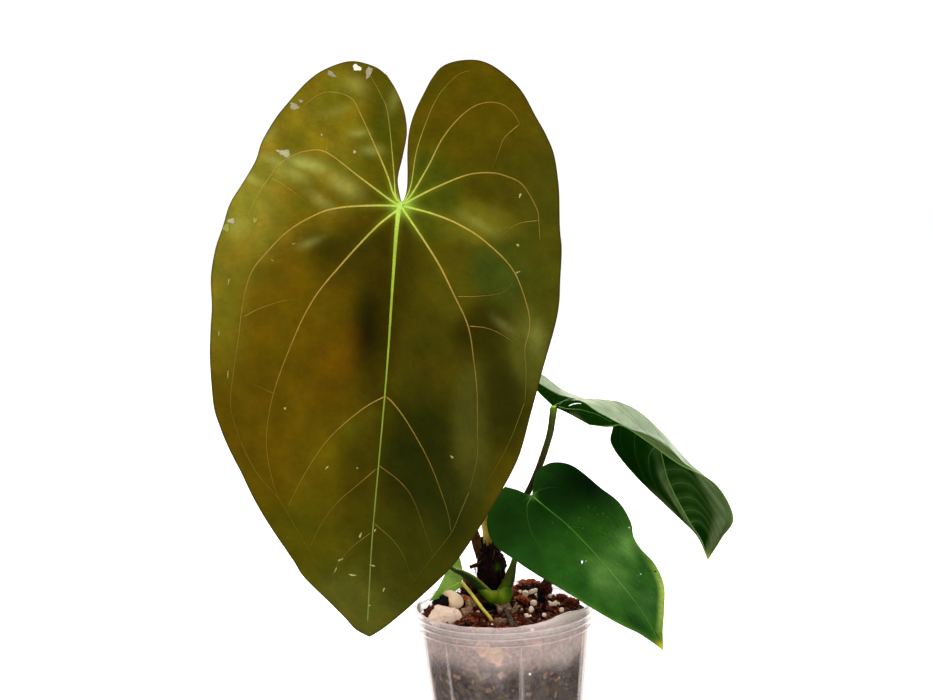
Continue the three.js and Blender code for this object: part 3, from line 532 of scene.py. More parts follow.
bark_finish = Grit("damp_bark", 620.0, 1.0, 0.85, Roughness=0.85, Specular_IOR_Level=0.15)
bed_points, bed_faces = mix_bed()
bed_patch = ripple(bed_points, 7, 11)[:, None]
bed_fine = ripple(bed_points, 2.6, 12)[:, None]
dry = np.clip((bed_points[:, 2:] - 63 + 4 * ripple(bed_points, 22, 13)[:, None]) / 6, 0, 1)
hue = ripple(bed_points, 11, 14)[:, None]
damp_tint = linear(64, 50, 42) * (1 + 0.55 * bed_patch) * (1 + 0.5 * bed_fine)
damp_tint = damp_tint * (1 + 0.3 * hue * [0.6, 0.5, -1.0])
dry_tint = linear(140, 106, 96) * (1 + 0.25 * bed_patch) * (1 + 0.3 * bed_fine)
on_top = (bed_points[:, 2:] > 76.0) & (np.hypot(*bed_points[:, :2].T) < 44.5)[:, None]
wall_tint = damp_tint * (1 - dry) + dry_tint * dry
bed_tint = np.where(on_top, linear(58, 26, 14) * (1 + 0.4 * bed_fine), wall_tint)
fitted(make_piece("mix_bed", bed_points, bed_faces, np.clip(bed_tint, 0, 1), bed_points[:, :2]),
       bark_finish, "potting_mix")

large_chips = top_chips(300, 21, 2.6, 6.4, 0.2)
small_chips = top_chips(900, 22, 1.3, 3.2, 0.9)
# Chips that stand out in front of the stem and to its right: place, size, turn and colour.
PLACED_CHIPS = [
    ((6.2, 4, 92.0), (6.4, 3.6, 2.6), (0.3, 0.5, 1.0), (196, 88, 42)),
    ((10.4, -1, 89.4), (7.6, 3.2, 2.4), (0.3, 0.6, 0.6), (206, 96, 50)),
    ((14.0, 21, 91.4), (12, 6, 4), (0.3, 0.1, 0.2), (176, 78, 42)),
    ((15.2, 18, 90.2), (10, 6, 5.0), (0.2, -0.1, 0.2), (30, 20, 22)),
    ((22.8, 16, 89.0), (6.2, 5, 8.6), (0.2, 0.35, 0.4), (84, 34, 18)),
    ((19.6, 11, 86.8), (3.0, 4, 5.4), (0.1, 0.2, 0.2), (20, 8, 6)),
    ((31, 4, 88.0), (5, 4, 3.4), (0.2, 0.3, 0.2), (140, 60, 30)),
    ((35, -1, 86.6), (5, 4, 3.2), (0.1, 0.3, 0.0), (128, 56, 30)),
    ((20, 0, 88.4), (4.4, 4, 5.6), (0.1, 0.2, 0.2), (24, 12, 10)),
    ((38.5, 2, 85.6), (4, 4, 3), (0.2, 0.1, 0.5), (110, 46, 26)),
    ((-32.0, -9.0, 91.4), (9.0, 7, 10.4), (0.2, 0.1, 0.4), (12, 8, 8)),
    ((-38.5, -9, 86.0), (5.6, 5.2, 6.0), (0.4, 0.2, 0.8), (104, 44, 20)),
    ((-19.5, -5, 91.6), (8.5, 3.0, 2.0), (0.5, 0.35, -0.5), (206, 118, 76)),
    ((-18.2, -9, 90.9), (3.8, 3.2, 2.8), (0.2, 0.4, 1.0), (226, 186, 140)),
    ((-17.4, 6, 94.2), (8.5, 7, 9), (0.2, 0.3, 0.5), (116, 48, 30)),
    ((-20.5, 3, 91.6), (6, 6, 8), (0.3, 0.1, 0.2), (36, 14, 10)),
    ((-20.6, -15, 87.6), (7.0, 5.2, 4.2), (0.3, -0.2, 0.5), (196, 146, 116)),
    ((-14, -20, 86.2), (7.5, 6, 4.2), (0.2, 0.2, 1.4), (96, 42, 24)),
    ((-0.4, -13.6, 88.3), (7.6, 5, 3.8), (0.4, 0.2, 0.3), (176, 136, 112)),
    ((5.2, -13, 87.2), (3, 2.4, 6), (0.2, 0.5, 0.3), (206, 166, 132)),
    ((-2.5, -28, 85.2), (6, 4, 2.8), (0.2, 0.1, 0.3), (150, 112, 84)),
    ((-12, -8, 92.0), (7, 4, 2.6), (0.3, 0.3, -0.6), (100, 40, 24)),
]


def by_column(rows):
    """Rows of place, size, turn and screen colour as one array of each, with the colours linear."""
    places, sizes, angles, colours = (np.array(column, float) for column in zip(*rows))
    return places, sizes, angles, linear(*colours)


chips = joined([
    lumps(*large_chips, seed=31, rough=0.34, rows=9, around=12),
    lumps(*small_chips, seed=32, rough=0.32, rows=6, around=8),
    lumps(*by_column(PLACED_CHIPS), seed=33, rough=0.34, rows=14, around=20),
])
fitted(make_piece("bark_chips", *chips), bark_finish, "potting_mix")

crumbs = lumps(*top_chips(3000, 23, 0.5, 1.7, 1.7), seed=37, rough=0.3, rows=5, around=6)
fitted(make_piece("bark_crumbs", *crumbs), bark_finish, "potting_mix")

draw = np.random.default_rng(41)
WALL_CHIPS = 800
turn = draw.uniform(0, 2 * np.pi, WALL_CHIPS)
level = draw.uniform(6, 77, WALL_CHIPS)
ring = cone_radius(level) - WALL - 1.1
spots = np.stack([ring * np.cos(turn), ring * np.sin(turn), level], 1)
breadth, upright = draw.uniform(1.4, 5.5, WALL_CHIPS), draw.uniform(1, 4, WALL_CHIPS)
size = np.stack([breadth, np.full(WALL_CHIPS, 1.2), upright], 1)
angle = np.stack([np.zeros(WALL_CHIPS), draw.normal(0, 0.7, WALL_CHIPS), turn + np.pi / 2], 1)
WALL_BARK = linear((84, 62, 48), (60, 46, 38), (104, 84, 72), (44, 34, 28), (70, 66, 38), (124, 96, 78),
                   (78, 66, 76), (30, 22, 20))
colour = WALL_BARK[draw.integers(0, len(WALL_BARK), WALL_CHIPS)]
aloft = np.clip((level - 60 + 3 * np.sin(3 * turn)) / 8, 0, 1)[:, None]
dusty = linear(132, 100, 88) * draw.uniform(0.7, 1.3, (WALL_CHIPS, 1))
colour = colour * (1 - 0.75 * aloft) + dusty * 0.75 * aloft
# The broad tan flake and its yellow spot below the rim at the front, and smaller flakes by it: place,
# size, turn and colour. Each place is moved straight out or in until the flake lies at the wall.
FLAKES = [
    ((-12.6, -43.4, 76.6), (7.4, 1.4, 7.6), (0.0, 0.7, -0.28), (176, 134, 108)),
    ((-10.6, -44.0, 75.4), (9, 1.4, 6.4), (0.0, 0.9, -0.24), (178, 136, 108)),
    ((-6.2, -44.6, 72.0), (8.4, 1.4, 9), (0.0, 0.25, -0.14), (182, 140, 112)),
    ((-6.4, -45.3, 74.8), (5.2, 0.8, 3.2), (0.0, -0.5, -0.12), (170, 150, 92)),
    ((11.7, -44.0, 61.4), (1.2, 1.0, 1.2), (0.0, 0.0, 0.3), (236, 226, 216)),
    ((15.5, -42.8, 76.6), (6, 1.2, 3.6), (0.0, -0.1, 0.35), (172, 130, 108)),
    ((-15.0, -41.9, 60.6), (1.6, 1.2, 4.2), (0.0, -0.4, -0.35), (110, 98, 20)),
    ((-17.4, -41.0, 63.6), (2.6, 1.2, 1.4), (0.0, 0.5, -0.35), (128, 116, 52)),
    ((-31.0, -30.6, 60.0), (2.2, 1.2, 3.6), (0.0, 0.2, -0.8), (112, 102, 40)),
    ((-4, -45.0, 67.4), (6, 1.0, 1.2), (0.0, -0.3, 0.0), (168, 120, 108)),
]
flakes = by_column(FLAKES)
flake_finish = Grit("pale_flake", 380.0, 0.15, 0.12, Roughness=0.85, Specular_IOR_Level=0.15)
held = cone_radius(flakes[0][:, 2]) - WALL - np.where(flakes[1][:, 1] < 0.9, 0.1, 0.6)
flakes[0][:, :2] *= (held / np.hypot(*flakes[0][:, :2].T))[:, None]
pressed = lumps(spots, size, angle, colour, seed=34, rough=0.24, rows=6, around=8)
flakes = lumps(*flakes, seed=35, rough=0.12, rows=12, around=18)
for name, shape, finish in (
        ("bark_against_wall", pressed, bark_finish), ("flakes_against_wall", flakes, flake_finish)):
    far_out, room = np.hypot(*shape[0][:, :2].T), cone_radius(shape[0][:, 2]) - WALL - 0.3
    shape[0][:, :2] *= np.where(far_out > room, (room + 0.3 * (far_out - room)) / far_out, 1)[:, None]
    fitted(make_piece(name, *shape), finish, "potting_mix")

draw = np.random.default_rng(43)
PERLITE = np.array([
    [11.9, 6.5, 90.4, 3.2], [15.4, 10, 90.6, 3.0], [17.4, 11, 90.8, 2.2], [9.0, 8, 91.2, 2.0],
    [15.8, -2.2, 87.6, 3.0], [14.0, -12.8, 87.1, 2.8], [11.2, -17.8, 85.4, 2.2], [25.0, -3.8, 86.9, 2.4],
    [27.4, -2, 86.8, 2.6], [30.0, -12.5, 85.9, 2.6], [-7.0, -32.8, 85.3, 1.8], [-14.1, -12.5, 86.6, 2.2],
    [18.4, 6, 88.8, 1.8],
])
STREWN = 34
r, turn = 42 * np.sqrt(draw.random(STREWN)), draw.uniform(0, 2 * np.pi, STREWN)
x, y = r * np.cos(turn), r * np.sin(turn)
away = (room_at(x, y) > 1).all(1)
strewn = np.stack([x, y, mix_height(x, y) + 1.8, draw.uniform(1.2, 2.5, STREWN)], 1)[away]
grains = np.concatenate([PERLITE, strewn])
grain_size = grains[:, 3:] * draw.uniform(0.8, 1.1, (len(grains), 3))
white = linear(255, 224, 200) * draw.uniform(0.9, 1.1, (len(grains), 1))
perlite = lumps(grains[:, :3], grain_size, draw.uniform(0, 6, (len(grains), 3)), white, seed=36, rough=0.14,
                rows=9, around=12, boxy=0.8)
# A faint warm emission makes the perlite glow: painted light.
crumb = Grit("perlite_crumb", 900.0, 0.4, 0.1, Roughness=0.8, Specular_IOR_Level=0.3,
             Emission_Color=(1.0, 0.8, 0.62, 1.0), Emission_Strength=0.16)
fitted(make_piece("perlite", *perlite), crumb, "potting_mix")

FIBRES = 150
r, turn = 41 * np.sqrt(draw.random(FIBRES)), draw.uniform(0, 2 * np.pi, FIBRES)
x, y = r * np.cos(turn), r * np.sin(turn)
foot = np.stack([x, y, mix_height(x, y) + draw.uniform(0.6, 2.2, FIBRES)], 1)
way = draw.uniform(0, 2 * np.pi, FIBRES)
reach = draw.uniform(2.5, 8, FIBRES)
head = foot + np.stack([reach * np.cos(way), reach * np.sin(way), draw.uniform(-0.6, 1.6, FIBRES)], 1)
inside_pot = np.hypot(head[:, 0], head[:, 1]) < 44
foot, head = foot[inside_pot], head[inside_pot]
bow = draw.normal(0, 0.9, foot.shape) + [0, 0, 0.5]
straw = linear((150, 96, 60), (186, 150, 112), (110, 56, 34))[draw.integers(0, 3, len(foot))]
fitted(make_piece("fibres", *strands(foot, head, bow, draw.uniform(0.1, 0.24, len(foot)), straw)),
       bark_finish, "potting_mix")


# Pebble and pumice: a smooth river pebble, cream with painted brown shade on its left and lower side,
# and a rough white pumice stone full of small pits. Both lie on the mix at the front left. A grey stick
# lies by the stem's foot.
def stone(at, size, turned, rough, pits, boxy):
    """An uneven ball by latitude and longitude, pushed towards a box by a power of its direction,
    with slow waves and small pits, then stretched to its size, turned and set down."""
    ball = ball_grid(72, 109)
    x, y, z = np.moveaxis(ball, -1, 0)
    bump = 1 + rough * np.sin(5 * x + 2 * y + 1) * np.cos(4 * z - 3 * y)
    pit = np.clip(ripple(ball, 0.5, 51) - 0.35, 0, 1) + 0.7 * np.clip(ripple(ball, 0.26, 52) - 0.3, 0, 1)
    bump -= pits * pit
    body = np.sign(ball) * np.abs(ball) ** boxy * bump[..., None] * size
    points = (body @ turns(-np.array([turned]))[0] + at).reshape(-1, 3)
    return points, quads(*ball.shape[:2]), pit.reshape(-1, 1), ball.reshape(-1, 3)


# A faint warm emission makes the pebble glow: painted light.
stone_finish = Grit("stone_skin", 420.0, 0.25, 0.08, Roughness=0.6, Specular_IOR_Level=0.35,
                    Emission_Color=(0.8, 0.6, 0.42, 1.0), Emission_Strength=0.08)
points, faces, _, ball = stone([-27.2, -9.5, 93.2], [6.4, 4.8, 4.3], [0, 0.62, 0.1], 0.03, 0.0, 1.0)
# Painted shade: the pebble turns brown towards its left and lower side.
brown_shade = np.clip(-0.9 * ball[:, :1] - 0.5 * ball[:, 2:] - 0.1 + 0.25 * ripple(ball, 0.9, 53)[:, None], 0, 1)
low = np.clip((89 - points[:, 2:]) / 4, 0, 1)
tint = linear(238, 208, 172) * (1 - brown_shade) + linear(132, 90, 58) * brown_shade
tint = tint * (1 - 0.5 * low) + linear(140, 78, 48) * 0.5 * low
fitted(make_piece("pebble_stone", points, faces, tint, points[:, :2]), stone_finish, "pebble")

# A faint warm emission makes the pumice glow: painted light.
pumice_finish = Grit("pumice_skin", 700.0, 0.9, 0.16, Roughness=0.9, Specular_IOR_Level=0.2,
                     Emission_Color=(1.0, 0.72, 0.56, 1.0), Emission_Strength=0.16)
points, faces, pit, ball = stone([-31.4, -20.8, 87.0], [6.9, 5.0, 4.6], [0.15, 0.3, 0.3], 0.2, 0.26, 0.5)
stain = np.clip(ripple(ball, 0.8, 54)[:, None] - 0.3, 0, 1)
# Painted shade: the pumice is darker in its pits.
tint = linear(255, 226, 202) * (1 - 0.7 * np.clip(pit, 0, 1)) * (1 - 0.5 * stain)
tint = np.clip(tint + linear(190, 120, 80) * 0.3 * stain, 0, 1)
fitted(make_piece("pumice_stone", points, faces, tint, points[:, :2]),
       pumice_finish, "pumice")


def cubic(a, b, c, d, f):
    """A cubic between b and c, whose slope at each runs between the points either side of it."""
    return 0.5 * (2 * b + (c - a) * f + (2 * a - 5 * b + 4 * c - d) * f ** 2
                  + (3 * b - a - 3 * c + d) * f ** 3)


def through(points, at):
    """A smooth curve through evenly numbered points. at is 0 at the first point and one less than
    their number at the last."""
    p = np.asarray(points, float)
    p = np.concatenate([2 * p[:1] - p[1:2], p, 2 * p[-1:] - p[-2:-1]])
    at = np.asarray(at, float)
    k = np.clip(np.floor(at).astype(int), 0, len(p) - 4)
    return cubic(p[k], p[k + 1], p[k + 2], p[k + 3], (at - k)[..., None])


def stalk(path, rings, sides, relief):
    """A round stalk carried along a smooth path of [x, y, z, radius]. Angle 0 faces the viewer.
    relief adds to the radius as a function of angle and the share of the length."""
    share = np.linspace(0, 1, rings)
    line = through(path, share * (len(path) - 1))
    along = np.gradient(line[:, :3], axis=0)
    along /= np.linalg.norm(along, axis=1, keepdims=True)
    front = np.array([0, -1.0, 0]) - along * -along[:, 1:2]
    front /= np.linalg.norm(front, axis=1, keepdims=True)
    side = np.cross(front, along)
    turn = np.linspace(0, 2 * np.pi, sides + 1)
    radius = line[:, 3:] + relief(turn[None], share[:, None])
    radius[:, -1] = radius[:, 0]
    skin = line[:, None, :3] + radius[..., None] * (
        front[:, None] * np.cos(turn)[None, :, None] + side[:, None] * np.sin(turn)[None, :, None])
    caps = [np.broadcast_to(line[i, None, None, :3], (1, sides + 1, 3)) for i in (0, -1)]
    points = np.concatenate([caps[0], skin, caps[1]])
    share = np.concatenate([[0], share, [1]])[:, None] + 0 * turn[None]
    angle = turn[None] + 0 * share
    return points.reshape(-1, 3), quads(rings + 2, sides + 1), share.reshape(-1, 1), angle.reshape(-1, 1)


def stops(light, *rows):
    """Rows of a place and a screen colour, with the colour made linear by light."""
    places, colours = np.split(np.array(rows, float), [1], axis=1)
    return np.hstack([places, light(*colours)])


def knots(share, rows):
    """A colour along a length, mixed in a straight line between rows of a place and a colour."""
    return np.stack([np.interp(share[:, 0], rows[:, 0], rows[:, i]) for i in (1, 2, 3)], 1)


points, faces, share, angle = stalk(
    [[0.2, -15.4, 88.6, 1.2], [1.6, -24, 87.6, 1.3], [3.8, -36.4, 84.8, 1.2]], 60, 24,
    lambda a, s: 0.18 * np.sin(5 * a + 3 * s) + 0.1 * np.sin(11 * a - 9 * s))
streaks = ripple(np.hstack([3 * np.cos(angle), 3 * np.sin(angle), share]), 1.2, 55)[:, None]
tint = linear(92, 76, 62) * (1 + 0.5 * streaks)
fitted(make_piece("grey_stick", points, faces, np.clip(tint, 0, 1), points[:, :2]),
       bark_finish, "bark_stick")


# Stem: a short upright stem, wrapped in old dark brown fibre that frays at its right side, with a
# green scar, one root stub to the left and a dry sheath that splits off to the upper left.
STEM = [[-4.5, 3.5, 62, 5.4], [-6, 3, 78, 6.6], [-6.4, 2, 92, 6.8], [-6.4, 1.4, 100, 6.8],
        [-6.2, 1.2, 106, 7.3], [-6.0, 1.1, 109.6, 7.7], [-6.9, 1, 113, 6.0], [-7.9, 1, 116.8, 4.3],
        [-7.8, 1, 120, 3.7], [-7.4, 1.4, 123.5, 3]]
STUB_ROOT = [[-9, 0, 108, 1.5], [-13.5, -2, 109.3, 1.2], [-17.4, -3, 108.6, 0.9]]
SHEATH = [[-10, 1, 110, 2.6], [-12.4, 0.6, 118, 2.8], [-14.2, 0.6, 126, 2.3], [-17.5, 1.2, 135, 1.5],
          [-20.5, 2.5, 142, 0.6]]

stem_finish = Grit("old_stem_fibre", 620.0, 0.8, 0.6, Roughness=0.8, Specular_IOR_Level=0.08)
points, faces, share, angle = stalk(
    STEM, 170, 96, lambda a, s: 0.35 * np.sin(9 * a + 6 * s) + 0.3 * np.sin(46 * s + 2 * a)
    + 0.25 * np.sin(23 * a - 17 * s))
rough = ripple(points, 2.2, 61)[:, None]
points[:, :2] += 0.35 * rough * np.column_stack([np.sin(angle), -np.cos(angle)])
worn = np.clip(ripple(points, 4, 62), 0, 1)[:, None]
tint = linear(20, 4, 3) * (1 + 0.6 * rough) + linear(120, 60, 40) * 0.06 * worn
scar = np.exp(-((points - [-2.6, -4.6, 108.4]) ** 2 / np.array([1.4, 4, 1.8]) ** 2).sum(1))[:, None]
tint = tint * (1 - scar) + linear(60, 104, 10) * scar
stub = stalk(STUB_ROOT, 30, 18, lambda a, s: 0.12 * np.sin(4 * a + 30 * s))
stub_tint = linear(60, 20, 12) * (1 + 0.4 * ripple(stub[0], 1.5, 63)[:, None])
shells = joined([(points, faces, tint, points[:, :2]), (stub[0], stub[1], stub_tint, stub[0][:, :2])])
shells[2] = np.clip(shells[2], 0.002, 1)
fitted(make_piece("old_stem", *shells), stem_finish, "stem")

draw = np.random.default_rng(64)
FRAYS = 420
level = draw.uniform(86, 119, FRAYS)
way = np.where(draw.random(FRAYS) < 0.45, draw.normal(1.35, 0.4, FRAYS), draw.uniform(0, 2 * np.pi, FRAYS))
axis_at = np.stack([np.interp(level, [78, 95, 107, 117.5], [-6, -6.8, -7, -6.2]),
                    np.interp(level, [78, 95, 107, 117.5], [3, 2, 1.2, 1.0]), level], 1)
out = np.stack([np.sin(way), -np.cos(way), 0 * way], 1)
girth = np.interp(level, [86, 100, 109.6, 113, 117, 120], [6.5, 6.5, 7.5, 5.7, 4.0, 3.5])[:, None]
foot = axis_at + out * girth
lean = draw.normal(0, 0.35, FRAYS)
run = np.stack([np.cos(way) * lean, np.sin(way) * lean, draw.choice([-1, 1], FRAYS) * np.ones(FRAYS)], 1)
reach = draw.uniform(1.5, 6, FRAYS)[:, None]
head = foot + run * reach + out * draw.uniform(0.1, 1.6, (FRAYS, 1))
head[:, 2] = np.clip(head[:, 2], 84, 119)
fray_tint = linear((36, 10, 6), (74, 30, 20), (140, 84, 68), (16, 4, 3))
fray_tint = fray_tint[draw.choice(4, FRAYS, p=[0.42, 0.2, 0.06, 0.32])]
frays = strands(foot, head, out * draw.uniform(0, 0.5, (FRAYS, 1)), draw.uniform(0.1, 0.24, FRAYS), fray_tint)
fitted(make_piece("stem_frays", *frays), stem_finish, "stem")

points, faces, share, angle = stalk(SHEATH, 90, 40, lambda a, s: 0.2 * np.sin(7 * a + 3 * s))
grain = ripple(np.hstack([points[:, :2] * 2.5, points[:, 2:] * 0.4]), 2.5, 65)[:, None]
green_side = np.clip(-np.sin(angle), 0, 1) * np.clip(1.2 - 2 * share, 0, 1)
tint = linear(66, 34, 14) * (1 + 0.4 * grain)
tint = tint * (1 - 0.85 * green_side) + linear(112, 96, 34) * 0.85 * green_side
fitted(make_piece("dry_sheath", points, faces, np.clip(tint, 0, 1), points[:, :2]),
       stem_finish, "cataphyll")


# Stalks: smooth, round leaf stalks that widen where they clasp the stem, and thicken again into a
# short yellow-green joint below the blade.
class Skin(Finish):
    """Living plant skin: each point's own tint with faint flecks, and a soft waxy gloss."""

    def __init__(self, name, **constants):
        super().__init__(name, **constants)
        here = self.object_place()
        tint = self.node("VertexColor", layer_name="tint").outputs["Color"]
        fleck = self.noise(here, 900.0, 4.0)
        light = self.ramp(fleck, (0.3, 0.86), (0.7, 1.14))
        shade = self.ramp(self.noise(here, 100.0, 3.0), (0.3, 0.88), (0.7, 1.12))
        self.link(self.tinted(tint, light, shade), "Base Color")
        self.bump(fleck, 0.12, 0.0004)


stalk_finish = Skin("stalk_skin", Roughness=0.4, Specular_IOR_Level=0.06)
LARGE_STALK = [[-7.6, 0.6, 110, 2.6], [-7.4, 0, 119, 2.5], [-7.9, -1, 130.6, 2.3], [-11.3, -3, 150, 2.2],
               [-18.4, -8, 183, 2.1], [-27.7, -17, 232, 2], [-36.8, -28, 274.5, 2], [-41, -34.5, 292, 2.3],
               [-42.4, -38.2, 298.4, 2.4], [-42.9, -40.4, 301.4, 1.6]]
BACK_STALK = [[-3, 2.2, 111, 2], [-1.9, 3, 118, 2], [5.1, 5, 130.4, 1.9], [15.4, 8, 145.6, 1.8],
              [21.9, 11, 158.3, 1.8], [28.0, 14, 174, 1.8], [30.2, 15, 184, 1.9], [30.9, 15, 188.6, 2.0],
              [31.2, 15, 190.4, 1.4]]
FRONT_STALK = [[-1.5, -2, 74, 2.6], [-1.6, -3.6, 86, 2.8], [-0.8, -6.4, 93, 4.2], [1.5, -7.2, 98.6, 3.3],
               [3.1, -7.4, 102, 2.9], [4.2, -7.5, 105.6, 2.6], [5.3, -7.6, 109, 1.95], [6.8, -8.2, 114, 1.6],
               [12.9, -13, 132.7, 1.8], [15.2, -17, 143, 2], [16.2, -19.5, 148.7, 1.9]]
LEFT_STALK = [[-5.5, 0, 76, 2.4], [-5.8, -2, 87, 2.6], [-7.4, -6.2, 93.4, 2.6], [-9.2, -7.8, 96.2, 2.4],
              [-13.6, -8.4, 100.8, 2.35], [-16.6, -8.8, 103.8, 2.2], [-22, -10, 107.8, 1.65],
              [-27, -11, 110.8, 1.1], [-42, -7, 123.5, 1.6], [-60, 6, 141, 1.9], [-76, 19.5, 161, 1.9],
              [-83.5, 25, 171.5, 2], [-85.6, 24.8, 176, 2]]
SMALL_STALK = [[-5.2, -22.4, 77, 0.9], [-7.0, -22, 84.3, 0.95], [-12.0, -17, 90.1, 0.9],
               [-17.0, -11, 96.2, 0.85], [-20.8, -6.2, 100, 0.85], [-22.1, -4.2, 101.1, 0.8]]


def make_stalk(name, path, node, colours, painted_light_colour, side_way, painted_light_share):
    """A stalk with a colour along it, and a second colour painted on the side that faces side_way:
    a painted highlight on the large, left and small stalks and on the collar, painted shade on the
    back and front stalks.
    """
    points, faces, share, angle = stalk(
        path, 190, 32, lambda a, s: 0.05 * np.sin(6 * a) + 0.03 * np.sin(60 * s))
    toward = np.clip(np.cos(angle - side_way), 0, 1) ** 1.5 * painted_light_share(share)
    tint = knots(share, stops(linear, *colours)) * (1 - toward) + linear(*painted_light_colour) * toward
    fitted(make_piece(name, points, faces, np.clip(tint, 0, 1), points[:, :2]), stalk_finish, node)


make_stalk("large_leaf_stalk", LARGE_STALK, "petiole_large",
           [(0, 22, 7, 4), (0.09, 30, 12, 5), (0.13, 96, 66, 14), (0.19, 156, 120, 34), (0.3, 120, 104, 26),
            (0.7, 88, 92, 30), (0.93, 110, 120, 40), (0.97, 168, 190, 60), (1, 168, 190, 60)],
           (190, 186, 96), 1.2, lambda s: 0.8 * np.clip(1 - 2.5 * s, 0, 1) * np.clip((s - 0.1) / 0.05, 0, 1))
make_stalk("back_leaf_stalk", BACK_STALK, "petiole_back",
           [(0, 24, 8, 4), (0.18, 30, 14, 6), (0.3, 44, 38, 8), (0.5, 48, 46, 10), (0.75, 58, 68, 14),
            (0.86, 84, 104, 26), (0.935, 92, 120, 30), (0.955, 150, 196, 20), (1, 170, 210, 40)],
           (14, 14, 4), -1.3, lambda s: 0.85 * np.clip(1.1 - s, 0, 1))
make_stalk("front_leaf_stalk", FRONT_STALK, "petiole_front",
           [(0, 120, 130, 50), (0.1, 50, 90, 8), (0.2, 68, 104, 6), (0.3, 66, 92, 6), (0.42, 62, 72, 6),
            (0.6, 66, 70, 10), (0.8, 60, 76, 18), (0.96, 110, 140, 40), (1, 130, 160, 50)],
           (8, 34, 3), -1.35, lambda s: 0.95 * np.clip(5 * s - 0.7, 0, 1))
make_stalk("left_leaf_stalk", LEFT_STALK, "petiole_left",
           [(0, 120, 130, 50), (0.08, 66, 108, 12), (0.18, 54, 90, 6), (0.25, 12, 46, 4),
            (0.45, 10, 36, 4), (0.55, 20, 44, 8), (0.7, 52, 78, 22), (0.93, 80, 110, 32),
            (0.97, 150, 180, 56), (1, 150, 180, 56)],
           (196, 190, 70), -2.05, lambda s: 0.95 * np.clip(1.4 - 1.4 * s, 0, 1))
# The green collar in which both front stalks grow together, round the foot of the old brown stem.
COLLAR = [[-14.4, -7.2, 100.4, 1.2], [-12, -8.4, 97.8, 1.9], [-9.4, -9.2, 95.6, 2.7], [-6, -9.6, 93.8, 3.7],
          [-2.2, -9.6, 93, 4.8], [0.7, -8.8, 94.9, 4.2], [1.7, -7.6, 97.6, 3.2], [2.2, -6.4, 100.4, 1.8]]
make_stalk("green_collar", COLLAR, "petiole_front",
           [(0, 18, 50, 4), (0.25, 40, 78, 2), (0.4, 84, 110, 4), (0.5, 44, 80, 2), (0.62, 92, 120, 6),
            (0.78, 58, 88, 4), (1, 66, 80, 8)],
           (132, 140, 30), 1.2, lambda s: 0.7 - 0.3 * np.exp(-((s - 0.58) / 0.14) ** 2))
make_stalk("small_leaf_stalk", SMALL_STALK, "petiole_small",
           [(0, 200, 170, 90), (0.22, 214, 200, 80), (0.6, 204, 196, 70), (1, 176, 190, 70)],
           (226, 214, 120), -1.2, lambda s: 0.5 + 0 * s)


# Large leaf: a firm heart-shaped blade, olive to bronze, hanging with its tip down and its upper
# face to the front. Its veins stand up pale from a lime star at the stalk.
LARGE_LEAF = {
    "junction": [-43.1, -42, 302.7], "down": [-0.118, -0.118, -0.986], "across": [0.993, -0.014, -0.117],
    "thick": 0.6,
    "midrib": [[0, 0], [-1.5, 12], [-1.5, 60], [-1.2, 110], [-1.8, 160], [-1, 195], [0, 214]],
    "left": {
        "notch": [[-12.5, -64], [-7.4, -57], [-2.7, -47.5], [-0.4, -36], [-1.5, -24], [-3, -12], [0, 0]],
        "margin": [[-12.5, -64], [-19, -67.8], [-31, -69.6], [-43, -65], [-52, -58.2], [-61, -47],
                   [-67, -38.5], [-72.5, -27], [-75, -17], [-80.5, -5.5], [-86, 5.5], [-88.5, 17],
                   [-91.3, 29], [-92.2, 42], [-90.6, 57.5], [-90.4, 70], [-89.6, 84], [-86.4, 105.5],
                   [-82.2, 116.5], [-77, 126.5], [-70, 137.5], [-61.5, 151.5], [-52, 164.5], [-40, 179.5],
                   [-34.2, 187.2], [-20.4, 199.1], [-12.5, 206], [-7, 211.2], [0, 214.3]],
        "shoulder": 10,
    },
    "right": {
        "notch": [[9, -63], [3.2, -48.5], [0.7, -38], [0.5, -27], [1.5, -15], [1.6, -7], [0, 0]],
        "margin": [[9, -63], [13, -69.5], [18, -73], [25, -75], [33.5, -75.2], [42.5, -71.5], [54, -62.4],
                   [63, -49], [68.8, -40.3], [73.5, -30.5], [77, -14.5], [79, 5], [80.7, 15.5], [81.1, 31.5],
                   [81.4, 42], [80.1, 54], [75.6, 76], [71.5, 97.5], [66.5, 121.5], [55, 147], [46.5, 163],
                   [38, 176.5], [23, 193.2], [10, 206.4], [3.4, 212], [0, 214.3]],
        "shoulder": 12,
    },
}


def large_form(u, v):
    """Margins bend back by the square of the distance from the midrib, the tip and lobes a little
    too, and the edge waves with the angle round the blade."""
    edge = ((u / 88) ** 2 + ((v - 70) / 142) ** 2) ** 2
    wave = 1.5 * np.sin(6 * np.arctan2(v - 70, 1.6 * u) + 0.6) * np.minimum(edge, 1.2)
    return 2.3 - 0.0011 * u ** 2 - 0.00028 * (v - 90) ** 2 + wave


